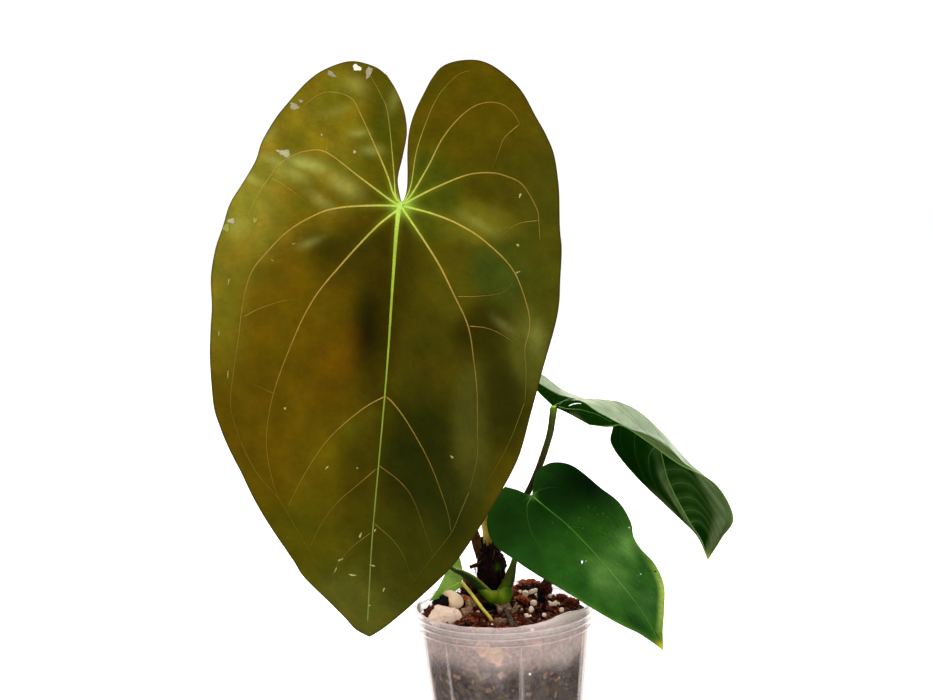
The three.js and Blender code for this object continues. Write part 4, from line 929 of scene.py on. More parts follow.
# Veins in the blade's plan, from the stalk or another vein outwards: points, the width at the
# start, how much of the pale colour is lost along the way, and how deep the blade dips beside it.
LARGE_VEINS = [
    ([[0, -2], [-1.5, 3], [-1.7, 27], [-1.2, 69.5], [-1.2, 94.5], [-1.7, 131.5], [-2.1, 165.5], [-1.6, 196],
      [-1.3, 207]], 2.7, 0.25, 0.7),
    ([[0, 0], [-3.5, -4.5], [-5.5, -17.5], [-10.5, -44.5], [-14.5, -53.5], [-19, -60.5], [-23.5, -66]],
     1.0, 0.75, 0.25),
    ([[0, 0], [-4.5, -5], [-8.5, -14.5], [-16, -29], [-26, -47], [-29, -51], [-33.5, -53], [-38, -53.6],
      [-43.5, -53], [-49, -49.5], [-55, -44]], 1.45, 0.8, 0.6),
    ([[0, 0], [-5, -1.5], [-21.5, -12], [-39.5, -23.5], [-50, -23.5], [-57, -20.5], [-63.5, -15.5],
      [-67, -9.5], [-71, -3], [-75, 7], [-77, 14]], 1.5, 0.8, 0.8),
    ([[0, 0], [-3, 0.5], [-16.5, 1.5], [-30.5, 3.5], [-41, 7], [-54.5, 16], [-63.5, 26], [-72, 38.5],
      [-75, 54], [-76, 71.5], [-77.5, 92.5], [-77.3, 106.5], [-71.5, 122]], 1.6, 0.85, 0.7),
    ([[0, 0], [-2, 2.5], [-12.5, 12.5], [-28, 32], [-41, 51.5], [-51, 78], [-57, 101.5], [-58, 122.5],
      [-53.5, 140.5], [-49.5, 149.5]], 1.7, 0.7, 0.8),
    ([[0, 0], [3.5, -9.5], [5, -27], [8.5, -41.5], [12.5, -53.5], [17, -61], [23, -67.5], [29, -70]],
     0.95, 0.75, 0.25),
    ([[0, 0], [4.5, -6], [11.5, -20.5], [17, -34], [23.5, -44], [31, -51.5], [38.5, -54.5], [45.5, -54],
      [51, -50.5], [55, -45]], 1.4, 0.7, 0.5),
    ([[0, 0], [4.5, -3], [16, -10], [31, -17.5], [42.5, -19.5], [50, -18.5], [58.5, -15], [66.5, -4], [68, 2],
      [69.5, 12]], 1.6, 0.7, 0.6),
    ([[0, 0], [4.5, 1], [17, 3.5], [29, 7.5], [42, 14.5], [57, 27.5], [65.5, 45], [67.5, 55.5], [66, 66],
      [67.5, 78], [68, 92]], 1.65, 0.75, 0.6),
    ([[0, 0], [1, 2.5], [10.5, 14.5], [20.5, 28], [28.5, 41.5], [37, 57], [41, 73], [44, 89.5], [45.5, 107.5],
      [46.5, 121], [44, 138]], 1.7, 0.8, 0.6),
    ([[-1, 94.5], [-12.5, 102.5], [-27, 117.5], [-37, 134.5], [-45, 153]], 1.0, 0.3, 0.5),
    ([[-1, 94.5], [3.5, 98], [11.5, 107.5], [23.5, 126], [33.5, 148], [36.5, 159.5]], 1.0, 0.5, 0.4),
    ([[-2, 130], [-12, 140], [-20, 148], [-27, 158.5], [-33, 173]], 0.85, 0.45, 0.35),
    ([[-2, 128.5], [10, 136.5], [17.5, 146], [26.5, 166.5], [29, 171]], 0.8, 0.6, 0.3),
    ([[-2.5, 162], [-11, 169.5], [-17.5, 178], [-21.5, 188]], 0.75, 0.55, 0.25),
    ([[-2.5, 157], [8, 165], [14.5, 173.5], [19, 185.5]], 0.7, 0.65, 0.25),
    # Links between the main veins, and the line that joins their ends near the margin.
    ([[-74.5, 61], [-67, 56.5], [-61.5, 54], [-53, 51], [-44, 50.5]], 0.7, 0.7, 0.2),
    ([[37, 57], [47, 57.5], [56, 61], [65, 66.5]], 0.65, 0.6, 0.2),
    ([[-67, -9.5], [-58, -5], [-51, -0.5], [-46, 3]], 0.6, 0.6, 0.3),
    ([[55, -45], [48, -37.5], [45.5, -30], [42.5, -20]], 0.7, 0.7, 0.2),
    ([[68, 2], [61, 3.5], [56.5, 5.5], [48, 12.5]], 0.6, 0.7, 0.2),
    ([[-39.4, -23.2], [-40, -32], [-42.8, -41.5]], 0.45, 0.8, 0.1),
    ([[-55, 98], [-66, 94], [-77, 88]], 0.5, 0.8, 0.1),
    ([[-71.5, 122], [-62, 137], [-49.5, 149.5], [-42, 160], [-33, 173], [-21.5, 188], [-12, 199]],
     0.55, 0.6, 0.15),
    ([[44, 138], [40, 150], [36.5, 159.5], [29, 171], [19, 185.5], [10, 197]], 0.55, 0.6, 0.15),
    ([[68, 92], [62, 112], [54, 130], [44, 146], [36.5, 159.5]], 0.45, 0.8, 0.1),
    ([[30, 43], [41, 42], [53, 39], [59, 31]], 0.45, 0.7, 0.1),
]


def axes_of(leaf):
    """A leaf's own axes: across it, down its midrib, and out of its upper face."""
    down = np.array(leaf["down"], float)
    down /= np.linalg.norm(down)
    across = np.array(leaf["across"], float)
    across -= down * across.dot(down)
    across /= np.linalg.norm(across)
    return across, down, np.cross(down, across)


def on_blade(leaf, plan, lift):
    """Places on a leaf's plan as points, lifted so far out of its plane."""
    across, down, out = axes_of(leaf)
    return np.array(leaf["junction"]) + plan[..., :1] * across + plan[..., 1:] * down + lift[..., None] * out


def half_plan(leaf, half, s, t):
    """Half a flat blade's plan: s runs from 0 at the lobe's top through 1 at the stalk to 2 at the
    tip, and t from 0 on the inner line to 1 on the margin, in a straight line between them."""
    lobe = s < 1
    inner = np.where(lobe[..., None], through(half["notch"], np.minimum(s, 1) * (len(half["notch"]) - 1)),
                     through(leaf["midrib"], (np.maximum(s, 1) - 1) * (len(leaf["midrib"]) - 1)))
    beyond = len(half["margin"]) - 1 - half["shoulder"]
    outer = through(half["margin"], np.where(lobe, s * half["shoulder"], half["shoulder"] + (s - 1) * beyond))
    return inner + (outer - inner) * t[..., None]


def sampled(points, apart):
    """A smooth curve's points about a fixed distance apart, and their share of the length."""
    rough = through(points, np.linspace(0, len(points) - 1, 20 * len(points)))
    length = np.concatenate([[0], np.cumsum(np.linalg.norm(np.diff(rough, axis=0), axis=1))])
    share = np.linspace(0, 1, max(int(length[-1] / apart), 4) + 1)
    return np.stack([np.interp(share * length[-1], length, along) for along in rough.T], 1), share


def nearness(plan, veins, width):
    """How near each point lies to a vein: for each, the vein's depth times a bell curve of the
    distance, and of these the largest."""
    best = np.zeros(len(plan))
    for points, _, _, depth in veins:
        line = sampled(points, 1.5)[0]
        for k in range(0, len(plan), 8000):
            chunk = plan[k:k + 8000]
            square = ((chunk[:, None] - line[None]) ** 2).sum(-1).min(1)
            best[k:k + 8000] = np.maximum(best[k:k + 8000], depth * np.exp(-square / width ** 2))
    return best


def large_relief(plan):
    """The blade dips along its veins and swells between them, most in the upper left, with fine
    puckers that run out from the veins there."""
    lively = 0.5 + 0.9 * np.exp(-(((plan - [-48, -12]) / [50, 52]) ** 2).sum(-1))
    dip = nearness(plan, LARGE_VEINS, 6.0)
    pucker = ripple(plan, 19, 71) * 0.6 + ripple(plan, 9, 72) * 0.16
    return lively * (pucker - 1.1 * dip) - 0.15 * dip


def sheet_grid(rows, columns, lobe_rows):
    """s and t for the rows of half a blade, the lobe's first, with t crowded towards both ends."""
    s = np.concatenate([np.linspace(0, 1, lobe_rows, endpoint=False), np.linspace(1, 2, rows - lobe_rows)])
    return np.meshgrid(s, 0.5 - 0.5 * np.cos(np.pi * np.linspace(0, 1, columns)), indexing="ij")


def sheet_faces(rows, columns, lobe_rows):
    """The faces of half a blade as a closed shell: its upper points, then as many under ones, that
    are joined along the margin and the notch."""
    grid, count = quads(rows, columns), rows * columns
    margin = np.arange(rows) * columns + columns - 1
    notch = np.arange(lobe_rows + 1) * columns
    strips = [np.stack([e[:-1], e[1:], e[1:] + count, e[:-1] + count], -1) for e in (margin, notch)]
    return np.concatenate([grid, grid[:, ::-1] + count, strips[0], strips[1][:, ::-1]])


def half_thickness(thick, from_margin, from_notch):
    """Half a blade's thickness, which falls off as a quarter ellipse at its rounded edges."""
    rim = np.minimum(np.minimum(from_margin, from_notch) / 1.2, 1)
    return thick / 2 * np.sqrt(0.06 + 0.94 * rim * (2 - rim))


def flat_sheet(leaf, form, relief, rows, columns):
    """Both halves of a flat blade as closed shells, whose faces lie half the thickness either side
    of the form. Returns points, faces, plan, and for each point its distance from the margin, its
    distance from the notch and whether it is under."""
    shells = []
    for side in ("left", "right"):
        lobe_rows = int(rows * 0.38)
        s, t = sheet_grid(rows, columns, lobe_rows)
        plan = half_plan(leaf, leaf[side], s, t)
        width = np.linalg.norm(plan[:, -1] - plan[:, 0], axis=-1)[:, None]
        from_margin, from_notch = width * (1 - t), np.where(s < 1, width * t, 99.0)
        flat = plan.reshape(-1, 2)
        height = (form(*flat.T) + relief(flat)).reshape(s.shape)
        half = half_thickness(leaf["thick"], from_margin, from_notch)
        points = np.stack([on_blade(leaf, plan, height + way * half) for way in (1, -1)]).reshape(-1, 3)
        faces = sheet_faces(rows, columns, lobe_rows)
        facts = [np.tile(from_margin.ravel(), 2), np.tile(from_notch.ravel(), 2), np.repeat([0, 1], s.size)]
        shells.append([points, faces[:, ::-1] if side == "left" else faces, np.tile(flat, (2, 1)),
                       np.column_stack(facts)])
    return joined(shells)


def blend(tint, colour, share):
    """One colour mixed into another by a share."""
    return tint * (1 - share) + colour * share


def patch(plan, at, spread, turn=0.0):
    """A soft spot: a bell curve of the distance from a place, with its own spread along two axes
    that may be turned."""
    d = plan - np.array(at)
    c, s = np.cos(turn), np.sin(turn)
    d = np.column_stack([d[:, 0] * c + d[:, 1] * s, -d[:, 0] * s + d[:, 1] * c]) / spread
    return np.exp(-(d ** 2).sum(1))[:, None]


def shown(*rgb):
    """The tint that shows as the given screen colour on a face turned to the viewer, which these
    lamps light by half as much again."""
    return linear(*rgb) / 1.5


def dabbed(tint, plan, dabs):
    """A tint with soft spots put on in turn: place, spread, turn, share and the colour that shows."""
    for at, spread, turn, share, colour in dabs:
        tint = blend(tint, shown(*colour), share * patch(plan, at, spread, turn))
    return tint


# The large leaf's broad tones, with painted light in them: lighter at the upper left and darker towards
# the lower right as the light falls: place on the plan, spread, and the colour that it shows.
LARGE_TONES = [
    ((-50, -32), (26, 22), (124, 110, 16)), ((-13, -32), (8, 20), (74, 74, 3)),
    ((-76, 6), (14, 22), (150, 137, 38)), ((-40, 6), (20, 10), (108, 92, 7)),
    ((-84, 46), (10, 30), (122, 112, 22)), ((-58, 50), (20, 26), (102, 80, 2)),
    ((-28, 26), (12, 11), (64, 54, 1)), ((-19, 12), (8, 9), (58, 48, 1)),
    ((-66, 112), (22, 34), (92, 72, 1)), ((-30, 84), (10, 18), (88, 66, 1)),
    ((-6, 40), (8, 34), (56, 47, 1)), ((-30, 134), (9, 22), (93, 78, 2)),
    ((-14, 138), (6, 18), (64, 56, 1)), ((-34, 168), (18, 14), (78, 74, 3)),
    ((-7, 198), (15, 13), (86, 86, 24)), ((14, 176), (18, 18), (57, 57, 4)),
    ((18, 124), (12, 22), (33, 38, 2)), ((34, 146), (10, 16), (38, 45, 4)),
    ((43, 108), (6, 22), (76, 74, 19)), ((56, 92), (9, 16), (42, 42, 2)), ((68, 64), (7, 14), (86, 86, 24)),
    ((72, 8), (12, 36), (74, 72, 5)), ((34, -48), (26, 18), (88, 74, 2)),
    ((52, -22), (16, 12), (74, 67, 3)), ((12, -8), (10, 14), (70, 78, 8)),
    ((38, 6), (13, 6), (108, 102, 19)), ((54, 30), (12, 10), (62, 74, 14)),
    ((43, 58), (10, 10), (46, 42, 1)), ((27, 42), (8, 10), (84, 78, 7)), ((16, 66), (9, 18), (66, 60, 4)),
]
# Spots over them: a painted warm glow of light through the blade left of the midrib, and painted
# shadows, the darkest beside the midrib: place, spread, turn, share and colour.
LARGE_DABS = [
    ((-24, 74), (7, 15), 0.6, 0.6, (116, 78, 1)), ((-45, 112), (5, 22), 0.35, 0.65, (112, 86, 2)),
    ((-27, 124), (4.5, 20), 0.6, 0.5, (104, 90, 4)), ((-13, 112), (4.5, 14), 0.7, 0.5, (76, 74, 8)),
    ((-12, 63), (8, 17), 0, 0.9, (22, 20, 1)), ((-32, 24), (9, 7), -0.4, 0.6, (44, 40, 1)),
]


def large_colour(plan, from_margin, from_notch, under):
    """A mean of the broad tones, weighted by how near each is, with browner and greener clouds over
    it, a painted glow of light through the blade left of the midrib, a painted shadow beside it,
    painted pale sheens and a lime star."""
    weight = np.full((len(plan), 1), 0.05)
    tint = weight * shown(78, 68, 3)
    for at, spread, colour in LARGE_TONES:
        near = patch(plan, at, spread)
        weight = weight + near
        tint = tint + near * shown(*colour)
    tint = dabbed(tint / weight, plan, LARGE_DABS)
    lively = 0.7 + 0.8 * patch(plan, (-40, -15), (50, 55))
    warm = lively * (0.7 * ripple(plan, 26, 74) + 0.5 * ripple(plan, 12, 77))[:, None]
    tint = tint * (1 + 0.16 * np.clip(warm, -1, 1) * [1.0, 0.25, 0.0])
    mottle = lively * (0.10 * ripple(plan, 15, 73) + 0.05 * ripple(plan, 5, 76)
                       + 0.05 * ripple(plan * [1, 3], 7, 75))[:, None]
    tint = tint * (1 + mottle)
    shine = np.zeros((len(plan), 1))
    for at, spread, way, strength in SHEENS:
        shine = np.maximum(shine, strength * patch(plan, at, spread, way))
    tint = blend(tint, shown(176, 178, 84), shine)
    near = nearness(plan, [(p, w, f, 1.0) for p, w, f, _ in LARGE_VEINS[:11]], 2.0)[:, None]
    close = np.exp(-np.hypot(plan[:, :1], plan[:, 1:]) / 13)
    tint = blend(tint, shown(140, 150, 30), 0.75 * near * close)
    tint = blend(tint, shown(176, 214, 70), 0.9 * np.exp(-(plan ** 2).sum(1) / 22)[:, None])
    tint = blend(tint, shown(56, 34, 6), 0.7 * np.exp(-(from_margin / 0.7) ** 2))
    tint = blend(tint, shown(104, 40, 26), 0.75 * np.exp(-(from_notch / 0.8) ** 2))
    back = linear(96, 74, 34) * (1 + mottle)
    back = blend(back, linear(120, 132, 58), 0.6 * nearness(plan, LARGE_VEINS[:11], 3.0)[:, None])
    return np.clip(np.where(under > 0.5, back, tint), 0, 1)


# Painted sheens, pale highlights on the swellings: place, spread, turn and strength.
SHEENS = [
    ((-49, -17), (11, 3.2), 0.2, 0.75), ((-30, -8), (9, 4.0), 0.5, 0.55), ((-24, -34), (5, 2.0), -0.2, 0.4),
    ((-17, -26), (5, 2.6), -0.1, 0.45), ((-66, -18), (8, 2.6), 0.25, 0.5), ((-56, -12), (9, 3.4), 0.3, 0.45),
    ((-76, -8), (6, 2.2), 0.4, 0.5), ((-40, 1), (8, 2.6), 0.6, 0.35), ((-82, 16), (5, 5), 0.8, 0.35),
    ((-28, -58), (6, 4), 0.3, 0.3), ((-70, -30), (6, 3), -0.7, 0.25), ((-36, -44), (9, 2.4), -0.4, 0.2),
    ((-44, 22), (6, 2), -0.5, 0.3), ((54, 55), (6, 2.4), 0.6, 0.2), ((71, 60), (4, 7), -0.2, 0.25),
    ((38, 6), (9, 2.6), 0.45, 0.22), ((-8, -52), (3, 7), 0.3, 0.25),
]


class Blade(Finish):
    """A leaf's face: its tint, a faint net of the finest veins drawn in the plan, fine flecks, and
    a shallow relief of cells and of the net. Where the tint's fourth value is below 1 the tint is a
    painted sheen, which gives way to the dull colour when the face is seen from straight above."""

    def __init__(self, name, net, net_light, relief, dull=None, **constants):
        super().__init__(name, **constants)
        plan = self.node("UVMap", uv_map="plan").outputs[0]
        painted = self.node("VertexColor", layer_name="tint")
        tint = painted.outputs["Color"]
        bend = self.node("TexNoise", {"Vector": plan}, Scale=net * 0.6, Detail=2.0).outputs["Color"]
        bent = self.node("MixRGB", {"Color1": plan, "Color2": bend}, blend_type="LINEAR_LIGHT",
                         Fac=0.35 / net)
        cells = self.node("TexVoronoi", {"Vector": bent.outputs[0]}, feature="DISTANCE_TO_EDGE", Scale=net)
        cells = cells.outputs["Distance"]
        fleck = self.noise(self.object_place(), 1500.0, 5.0, 0.7)
        if dull is not None:
            gone = self.fit(self.node("LayerWeight", Blend=0.5).outputs["Facing"], 0.3, 0.52, 1.0, 0.0)
            left = self.sum(gone, self.sum(1.0, painted.outputs["Alpha"], "SUBTRACT"), "MULTIPLY")
            tint = self.node("MixRGB", {"Fac": left, "Color1": tint}, Color2=(*dull, 1)).outputs[0]
        lines = self.ramp(cells, (0.0, net_light), (0.09, 1.0))
        grain = self.ramp(fleck, (0.3, 0.9), (0.7, 1.1))
        shade = self.ramp(self.noise(plan, 9.0, 6.0, 0.65), (0.3, 0.82), (0.7, 1.18))
        self.link(self.tinted(tint, lines, grain, shade), "Base Color")
        self.bump(self.sum(cells, fleck), relief, 0.0005)


bronze = Blade("bronze_blade", 22.0, 1.05, 0.16, Roughness=0.42, Specular_IOR_Level=0.012)
LARGE = LARGE_LEAF, large_form, large_relief


def make_blade(name, leaf, form, relief, colour, finish, node, slot, rows, columns):
    """A flat blade's shell with its tint, placed on its leaf's axes."""
    points, faces, plan, facts = flat_sheet(leaf, form, relief, rows, columns)
    tint = colour(plan, *facts.T[..., None])
    return fitted(make_piece(name, points, faces, tint, plan), finish, node)


make_blade("large_blade", *LARGE, large_colour, bronze, "leaf_large", "blade_bronze", 250, 40)


def vein_ridges(leaf, form, relief, veins, colours, skin, face=1, grow=1.0, ends=1.3):
    """Raised veins: for each, an oval skin carried along its line on the blade's face, half sunk,
    which thins towards its end and takes on nearly the blade's own colour there."""
    sides = 9
    turn = np.linspace(0, 2 * np.pi, sides)
    shells = []
    for points, width, loss, _ in veins:
        line, share = sampled(points, 1.6)
        rise = form(*line.T) + relief(line) + face * leaf["thick"] / 2
        along = np.gradient(line, axis=0)
        along /= np.linalg.norm(along, axis=1, keepdims=True)
        aside = np.column_stack([-along[:, 1], along[:, 0]])
        half = grow * width / 2 * (0.24 + 0.76 * np.exp(-share * (1.3 + 3.2 * max(width - 1.5, 0))))
        half[[0, -1]] = 0
        tall = face * (0.16 + 0.28 * half) * (half > 0)
        plan = line[:, None] + aside[:, None] * (half[:, None] * np.cos(turn))[..., None]
        points = on_blade(leaf, plan, rise[:, None] + tall[:, None] * np.sin(turn)).reshape(-1, 3)
        flat = plan.reshape(-1, 2)
        lost = np.repeat(share, sides)[:, None] * loss + (0.5 if width < 0.45 else 0.25 if width < 0.9 else 0)
        tint = blend(knots(np.hypot(*flat.T)[:, None], colours), skin(flat) * ends, np.clip(lost, 0, 1))
        shells.append((points, quads(len(line), sides), tint, flat))
    return joined(shells)


# Marks on the large leaf: white crusts of dried drops near its upper left margin, clear drops, and
# small pale scars. Each is a low dome: place, length, width, turn, height and colour.
CRUST, SCAR, DROP = linear(158, 150, 116), linear(150, 144, 80), linear(132, 134, 40)
MARKS = [
    ((-27.6, -66.4), 4.6, 2.8, 0.35, 0.5, linear(226, 220, 204)),
    ((-21.6, -64.6), 3.0, 6.0, 0.2, 0.35, CRUST * 0.8), ((-40.0, -62.4), 5.2, 2.2, 0.55, 0.3, CRUST * 0.7),
    ((-57.5, -45.5), 4.8, 3.4, 0.3, 0.45, CRUST * 0.8), ((-54.5, -48.4), 2.6, 1.6, 0.2, 0.3, CRUST * 0.7),
    ((-60.2, -21.8), 5.6, 3.6, 0.15, 0.45, CRUST), ((-63.6, -22.6), 2.6, 1.2, 0.3, 0.3, CRUST),
    ((-84.4, 13.8), 3.8, 2.4, 0.0, 0.4, CRUST), ((-86.4, 17.4), 3.4, 4.2, 0.1, 0.9, DROP),
    ((-72.6, 12.4), 3.0, 3.0, 0.0, 1.0, DROP), ((-42.5, -32), 1.1, 0.8, 0.4, 0.2, CRUST),
    ((-25.5, -24.5), 1.4, 1.8, 0.4, 0.25, CRUST), ((57.8, -9.5), 0.9, 2.6, 0.3, 0.15, SCAR),
    ((58.6, 15.2), 1.6, 1.1, 0.5, 0.15, SCAR), ((59.6, 28.6), 2.6, 0.8, -0.5, 0.12, SCAR * 0.7),
    ((-8, 164), 0.9, 2.8, 0.3, 0.15, SCAR), ((-1, 161), 0.7, 1.6, 0.4, 0.12, SCAR),
    ((-10.5, 184), 3.8, 0.8, 0.1, 0.15, SCAR), ((-1, 178.5), 3.0, 0.7, 0.2, 0.12, SCAR),
    ((5.5, 190), 0.7, 2.2, 0.3, 0.12, SCAR), ((-1, 198.5), 1.0, 0.8, 0.1, 0.12, SCAR),
    ((-17, 177), 2.8, 0.9, -0.5, 0.15, SCAR), ((-27, 132), 2.4, 0.7, -0.9, 0.12, SCAR),
    ((-50, 104.5), 1.2, 1.2, 0.4, 0.15, SCAR), ((-19, 182), 0.7, 3.0, 0.3, 0.12, SCAR * 0.8),
    ((34, 122), 2.0, 1.0, 0.6, 0.1, SCAR * 0.7), ((-83, 44), 0.6, 3.4, 0.1, 0.1, SCAR * 0.8),
    ((-62, 32), 1.6, 0.6, 0.5, 0.1, SCAR * 0.7), ((-52, 23), 2.2, 0.6, -0.3, 0.1, SCAR * 0.7),
    ((-86, 70), 0.6, 2.6, 0.0, 0.1, SCAR * 0.8), ((-80, 90), 0.6, 4.2, 0.0, 0.1, SCAR * 0.7),
    ((-12, 131), 1.0, 0.8, 0.3, 0.1, SCAR * 0.7),
]


def domes(leaf, form, relief, marks, seed, around, rings):
    """Low domes on a blade's upper face: an outline that is an oval with random waves, filled in
    rings whose height falls off as a quarter circle, closed by the same outline just below."""
    draw = np.random.default_rng(seed)
    turn = np.linspace(0, 2 * np.pi, around + 1)[None]
    ring = np.concatenate([np.linspace(0, 1, rings), [0.97, 0]])[:, None]
    shells = []
    for at, length, width, way, tall, colour in marks:
        wave = 1 + 0.16 * np.sin(3 * turn + draw.uniform(0, 6)) + 0.12 * np.sin(5 * turn + draw.uniform(0, 6))
        a, b = ring * wave * length / 2 * np.cos(turn), ring * wave * width / 2 * np.sin(turn)
        c, s = np.cos(way), np.sin(way)
        plan = np.array(at) + np.stack([a * c - b * s, a * s + b * c], -1)
        flat = plan.reshape(-1, 2)
        rise = form(*flat.T) + relief(flat) + leaf["thick"] / 2
        round_top = tall * np.sqrt(np.clip(1 - ring ** 2, 0, 1))
        dome = np.where(np.arange(rings + 2)[:, None] < rings, round_top, -0.12)
        tint = colour * (1 + 0.12 * ripple(flat, 0.9, seed))[:, None]
        shells.append((on_blade(leaf, flat, rise + (dome + 0 * turn).ravel()), quads(rings + 2, around + 1),
                       np.clip(tint, 0, 1), flat))
    return joined(shells)


mark_finish = Grit("dried_drops", 900.0, 0.3, 0.2, Roughness=0.6, Specular_IOR_Level=0.2)
fitted(make_piece("large_leaf_marks", *domes(*LARGE, MARKS, 78, 18, 7)),
       mark_finish, "leaf_large")


def skin_of(colour, under=0.0):
    """A blade's own tint well inside its margin, for the ends of veins."""
    def skin(plan):
        far = np.full((len(plan), 1), 50.0)
        return colour(plan, far, far, 0 * far + under)
    return skin


vein_finish = Skin("vein_skin", Roughness=0.45, Specular_IOR_Level=0.05)


def make_veins(name, shells, node):
    """The veins of a leaf as one piece, in the finish that all veins share."""
    fitted(make_piece(name, *joined(shells)), vein_finish, node)


# Colours of veins by their distance from the stalk.
LARGE_MIDRIB_COLOURS = stops(shown, (0, 196, 232, 100), (10, 186, 214, 80), (28, 176, 200, 62),
                             (60, 158, 182, 58), (120, 142, 160, 52), (220, 128, 146, 66))
LARGE_VEIN_COLOURS = stops(shown, (0, 196, 232, 100), (8, 196, 212, 84), (18, 204, 186, 78),
                           (36, 204, 168, 72), (70, 188, 148, 62), (120, 150, 120, 40), (220, 118, 108, 34))
UNDER_VEIN_COLOURS = stops(linear, (0, 170, 186, 84), (60, 150, 150, 70), (220, 130, 120, 60))
make_veins("large_blade_veins", [
    vein_ridges(*LARGE, LARGE_VEINS[:1], LARGE_MIDRIB_COLOURS, skin_of(large_colour)),
    vein_ridges(*LARGE, LARGE_VEINS[1:], LARGE_VEIN_COLOURS, skin_of(large_colour), grow=0.72),
    vein_ridges(*LARGE, LARGE_VEINS[:17], UNDER_VEIN_COLOURS, lambda plan: linear(104, 82, 40),
                face=-1, grow=1.3),
], "leaf_large_veins")


# Front leaf: a dark green blade that turns its upper face to the viewer, yellow along its lower
# right margin and at its tip, with a faintly pale midrib and one small hole.
FRONT_LEAF = {
    "junction": [16.4, -20, 149.3], "down": [0.61, -0.243, -0.754], "across": [0.705, 0.598, 0.379],
    "thick": 0.55,
    "midrib": [[0, 0], [1.5, 16], [4, 35], [5.2, 56], [4.2, 80], [1, 103]],
    "left": {
        "notch": [[-8, -12.5], [-4.5, -8], [-2, -3.5], [0, 0]],
        "margin": [[-8, -12.5], [-15, -11.5], [-24, -8], [-31, -1.5], [-34.5, 9], [-31.5, 23], [-25.5, 39],
                   [-20, 54.5], [-14.3, 69], [-9.2, 80], [-4, 89.4], [1, 103]],
        "shoulder": 4,
    },
    "right": {
        "notch": [[17, -9], [12, -8], [6.5, -5], [0, 0]],
        "margin": [[17, -9], [24, -7.5], [30.5, -2.5], [34.5, 6], [38, 18], [39.5, 30], [36.5, 43],
                   [32, 49.5], [31, 57], [31.5, 66], [27, 78], [17.5, 87.5], [8, 95.5], [1, 103]],
        "shoulder": 3,
    },
}
FRONT_VEINS = [
    ([[0, 0], [1.4, 9], [4.2, 25], [5.3, 45], [5.6, 58.5], [5.6, 74.5], [4, 88], [2, 97]], 1.15, 0.3, 0.5),
    ([[0, 0], [-6.3, 2.5], [-12.3, 9.2], [-16, 17.5], [-16.5, 29], [-14.4, 40.7], [-12, 50]], 0.7, 1.0, 0.4),
    ([[0, 0], [9, 1], [18, 8], [25, 20], [28, 34], [27, 48]], 0.4, 1.6, 0.3),
    ([[0, 0], [-9, -1], [-18, -1], [-24, 6]], 0.4, 1.4, 0.3),
    ([[0, 0], [12, -1], [22, 1], [30, 9]], 0.35, 1.8, 0.25),
    ([[4, 24], [11, 31], [19, 43], [25, 58], [25, 70]], 0.35, 1.8, 0.3),
    ([[5.2, 42], [13, 53], [19, 66], [19, 78]], 0.35, 1.8, 0.3),
    ([[5.2, 44], [-3, 52], [-10, 64], [-9, 74]], 0.35, 1.6, 0.3),
    ([[5.6, 60], [11, 69], [14, 80], [12, 88]], 0.35, 1.8, 0.25),
    ([[5.6, 62], [-1, 71], [-4, 82], [-2, 90]], 0.35, 1.6, 0.25),
]


def front_form(u, v):
    """Both halves fall away from the midrib by the square of the distance, the ends fall back, and
    a wave runs down the blade that grows towards the margin."""
    wave = 1.1 * np.sin(0.16 * v + 0.05 * u) * np.minimum((u / 36) ** 2, 1.2)
    return 1.8 - 0.0022 * u ** 2 - 0.0009 * (v - 45) ** 2 + wave


def front_relief(plan):
    """Shallow valleys along the veins and a slow unevenness."""
    return -0.28 * nearness(plan, FRONT_VEINS, 3.0) + 0.14 * ripple(plan, 13, 81)


# Spots on the front leaf: painted shade that makes it nearly black round the stalk and over the upper
# right lobe, painted sheens beside the midrib, and lighter and darker patches lower down: place, spread,
# turn, share and colour.
FRONT_DABS = [
    ((8, 6), (34, 20), 0, 0.9, (10, 44, 6)), ((32, 12), (22, 22), 0, 0.97, (3, 23, 2)),
    ((-22, 2), (14, 14), 0, 0.85, (20, 50, 8)), ((-24, 24), (9, 16), 0, 0.7, (28, 66, 14)),
    ((12, 34), (14, 11), 0, 0.7, (34, 78, 12)), ((4, 56), (10, 11), 0, 0.75, (90, 132, 58)),
    ((-2, 54), (4, 9), 0.3, 0.5, (96, 138, 62)), ((-14, 50), (5, 8), 0.3, 0.7, (32, 80, 20)),
    ((25, 51), (9, 8), 0, 0.9, (90, 134, 60)), ((11, 78), (11, 11), 0, 0.8, (56, 94, 40)),
    ((-2, 84), (4, 8), -0.2, 0.8, (24, 52, 18)), ((27, 61), (2.4, 5), 0.5, 0.6, (30, 70, 24)),
]


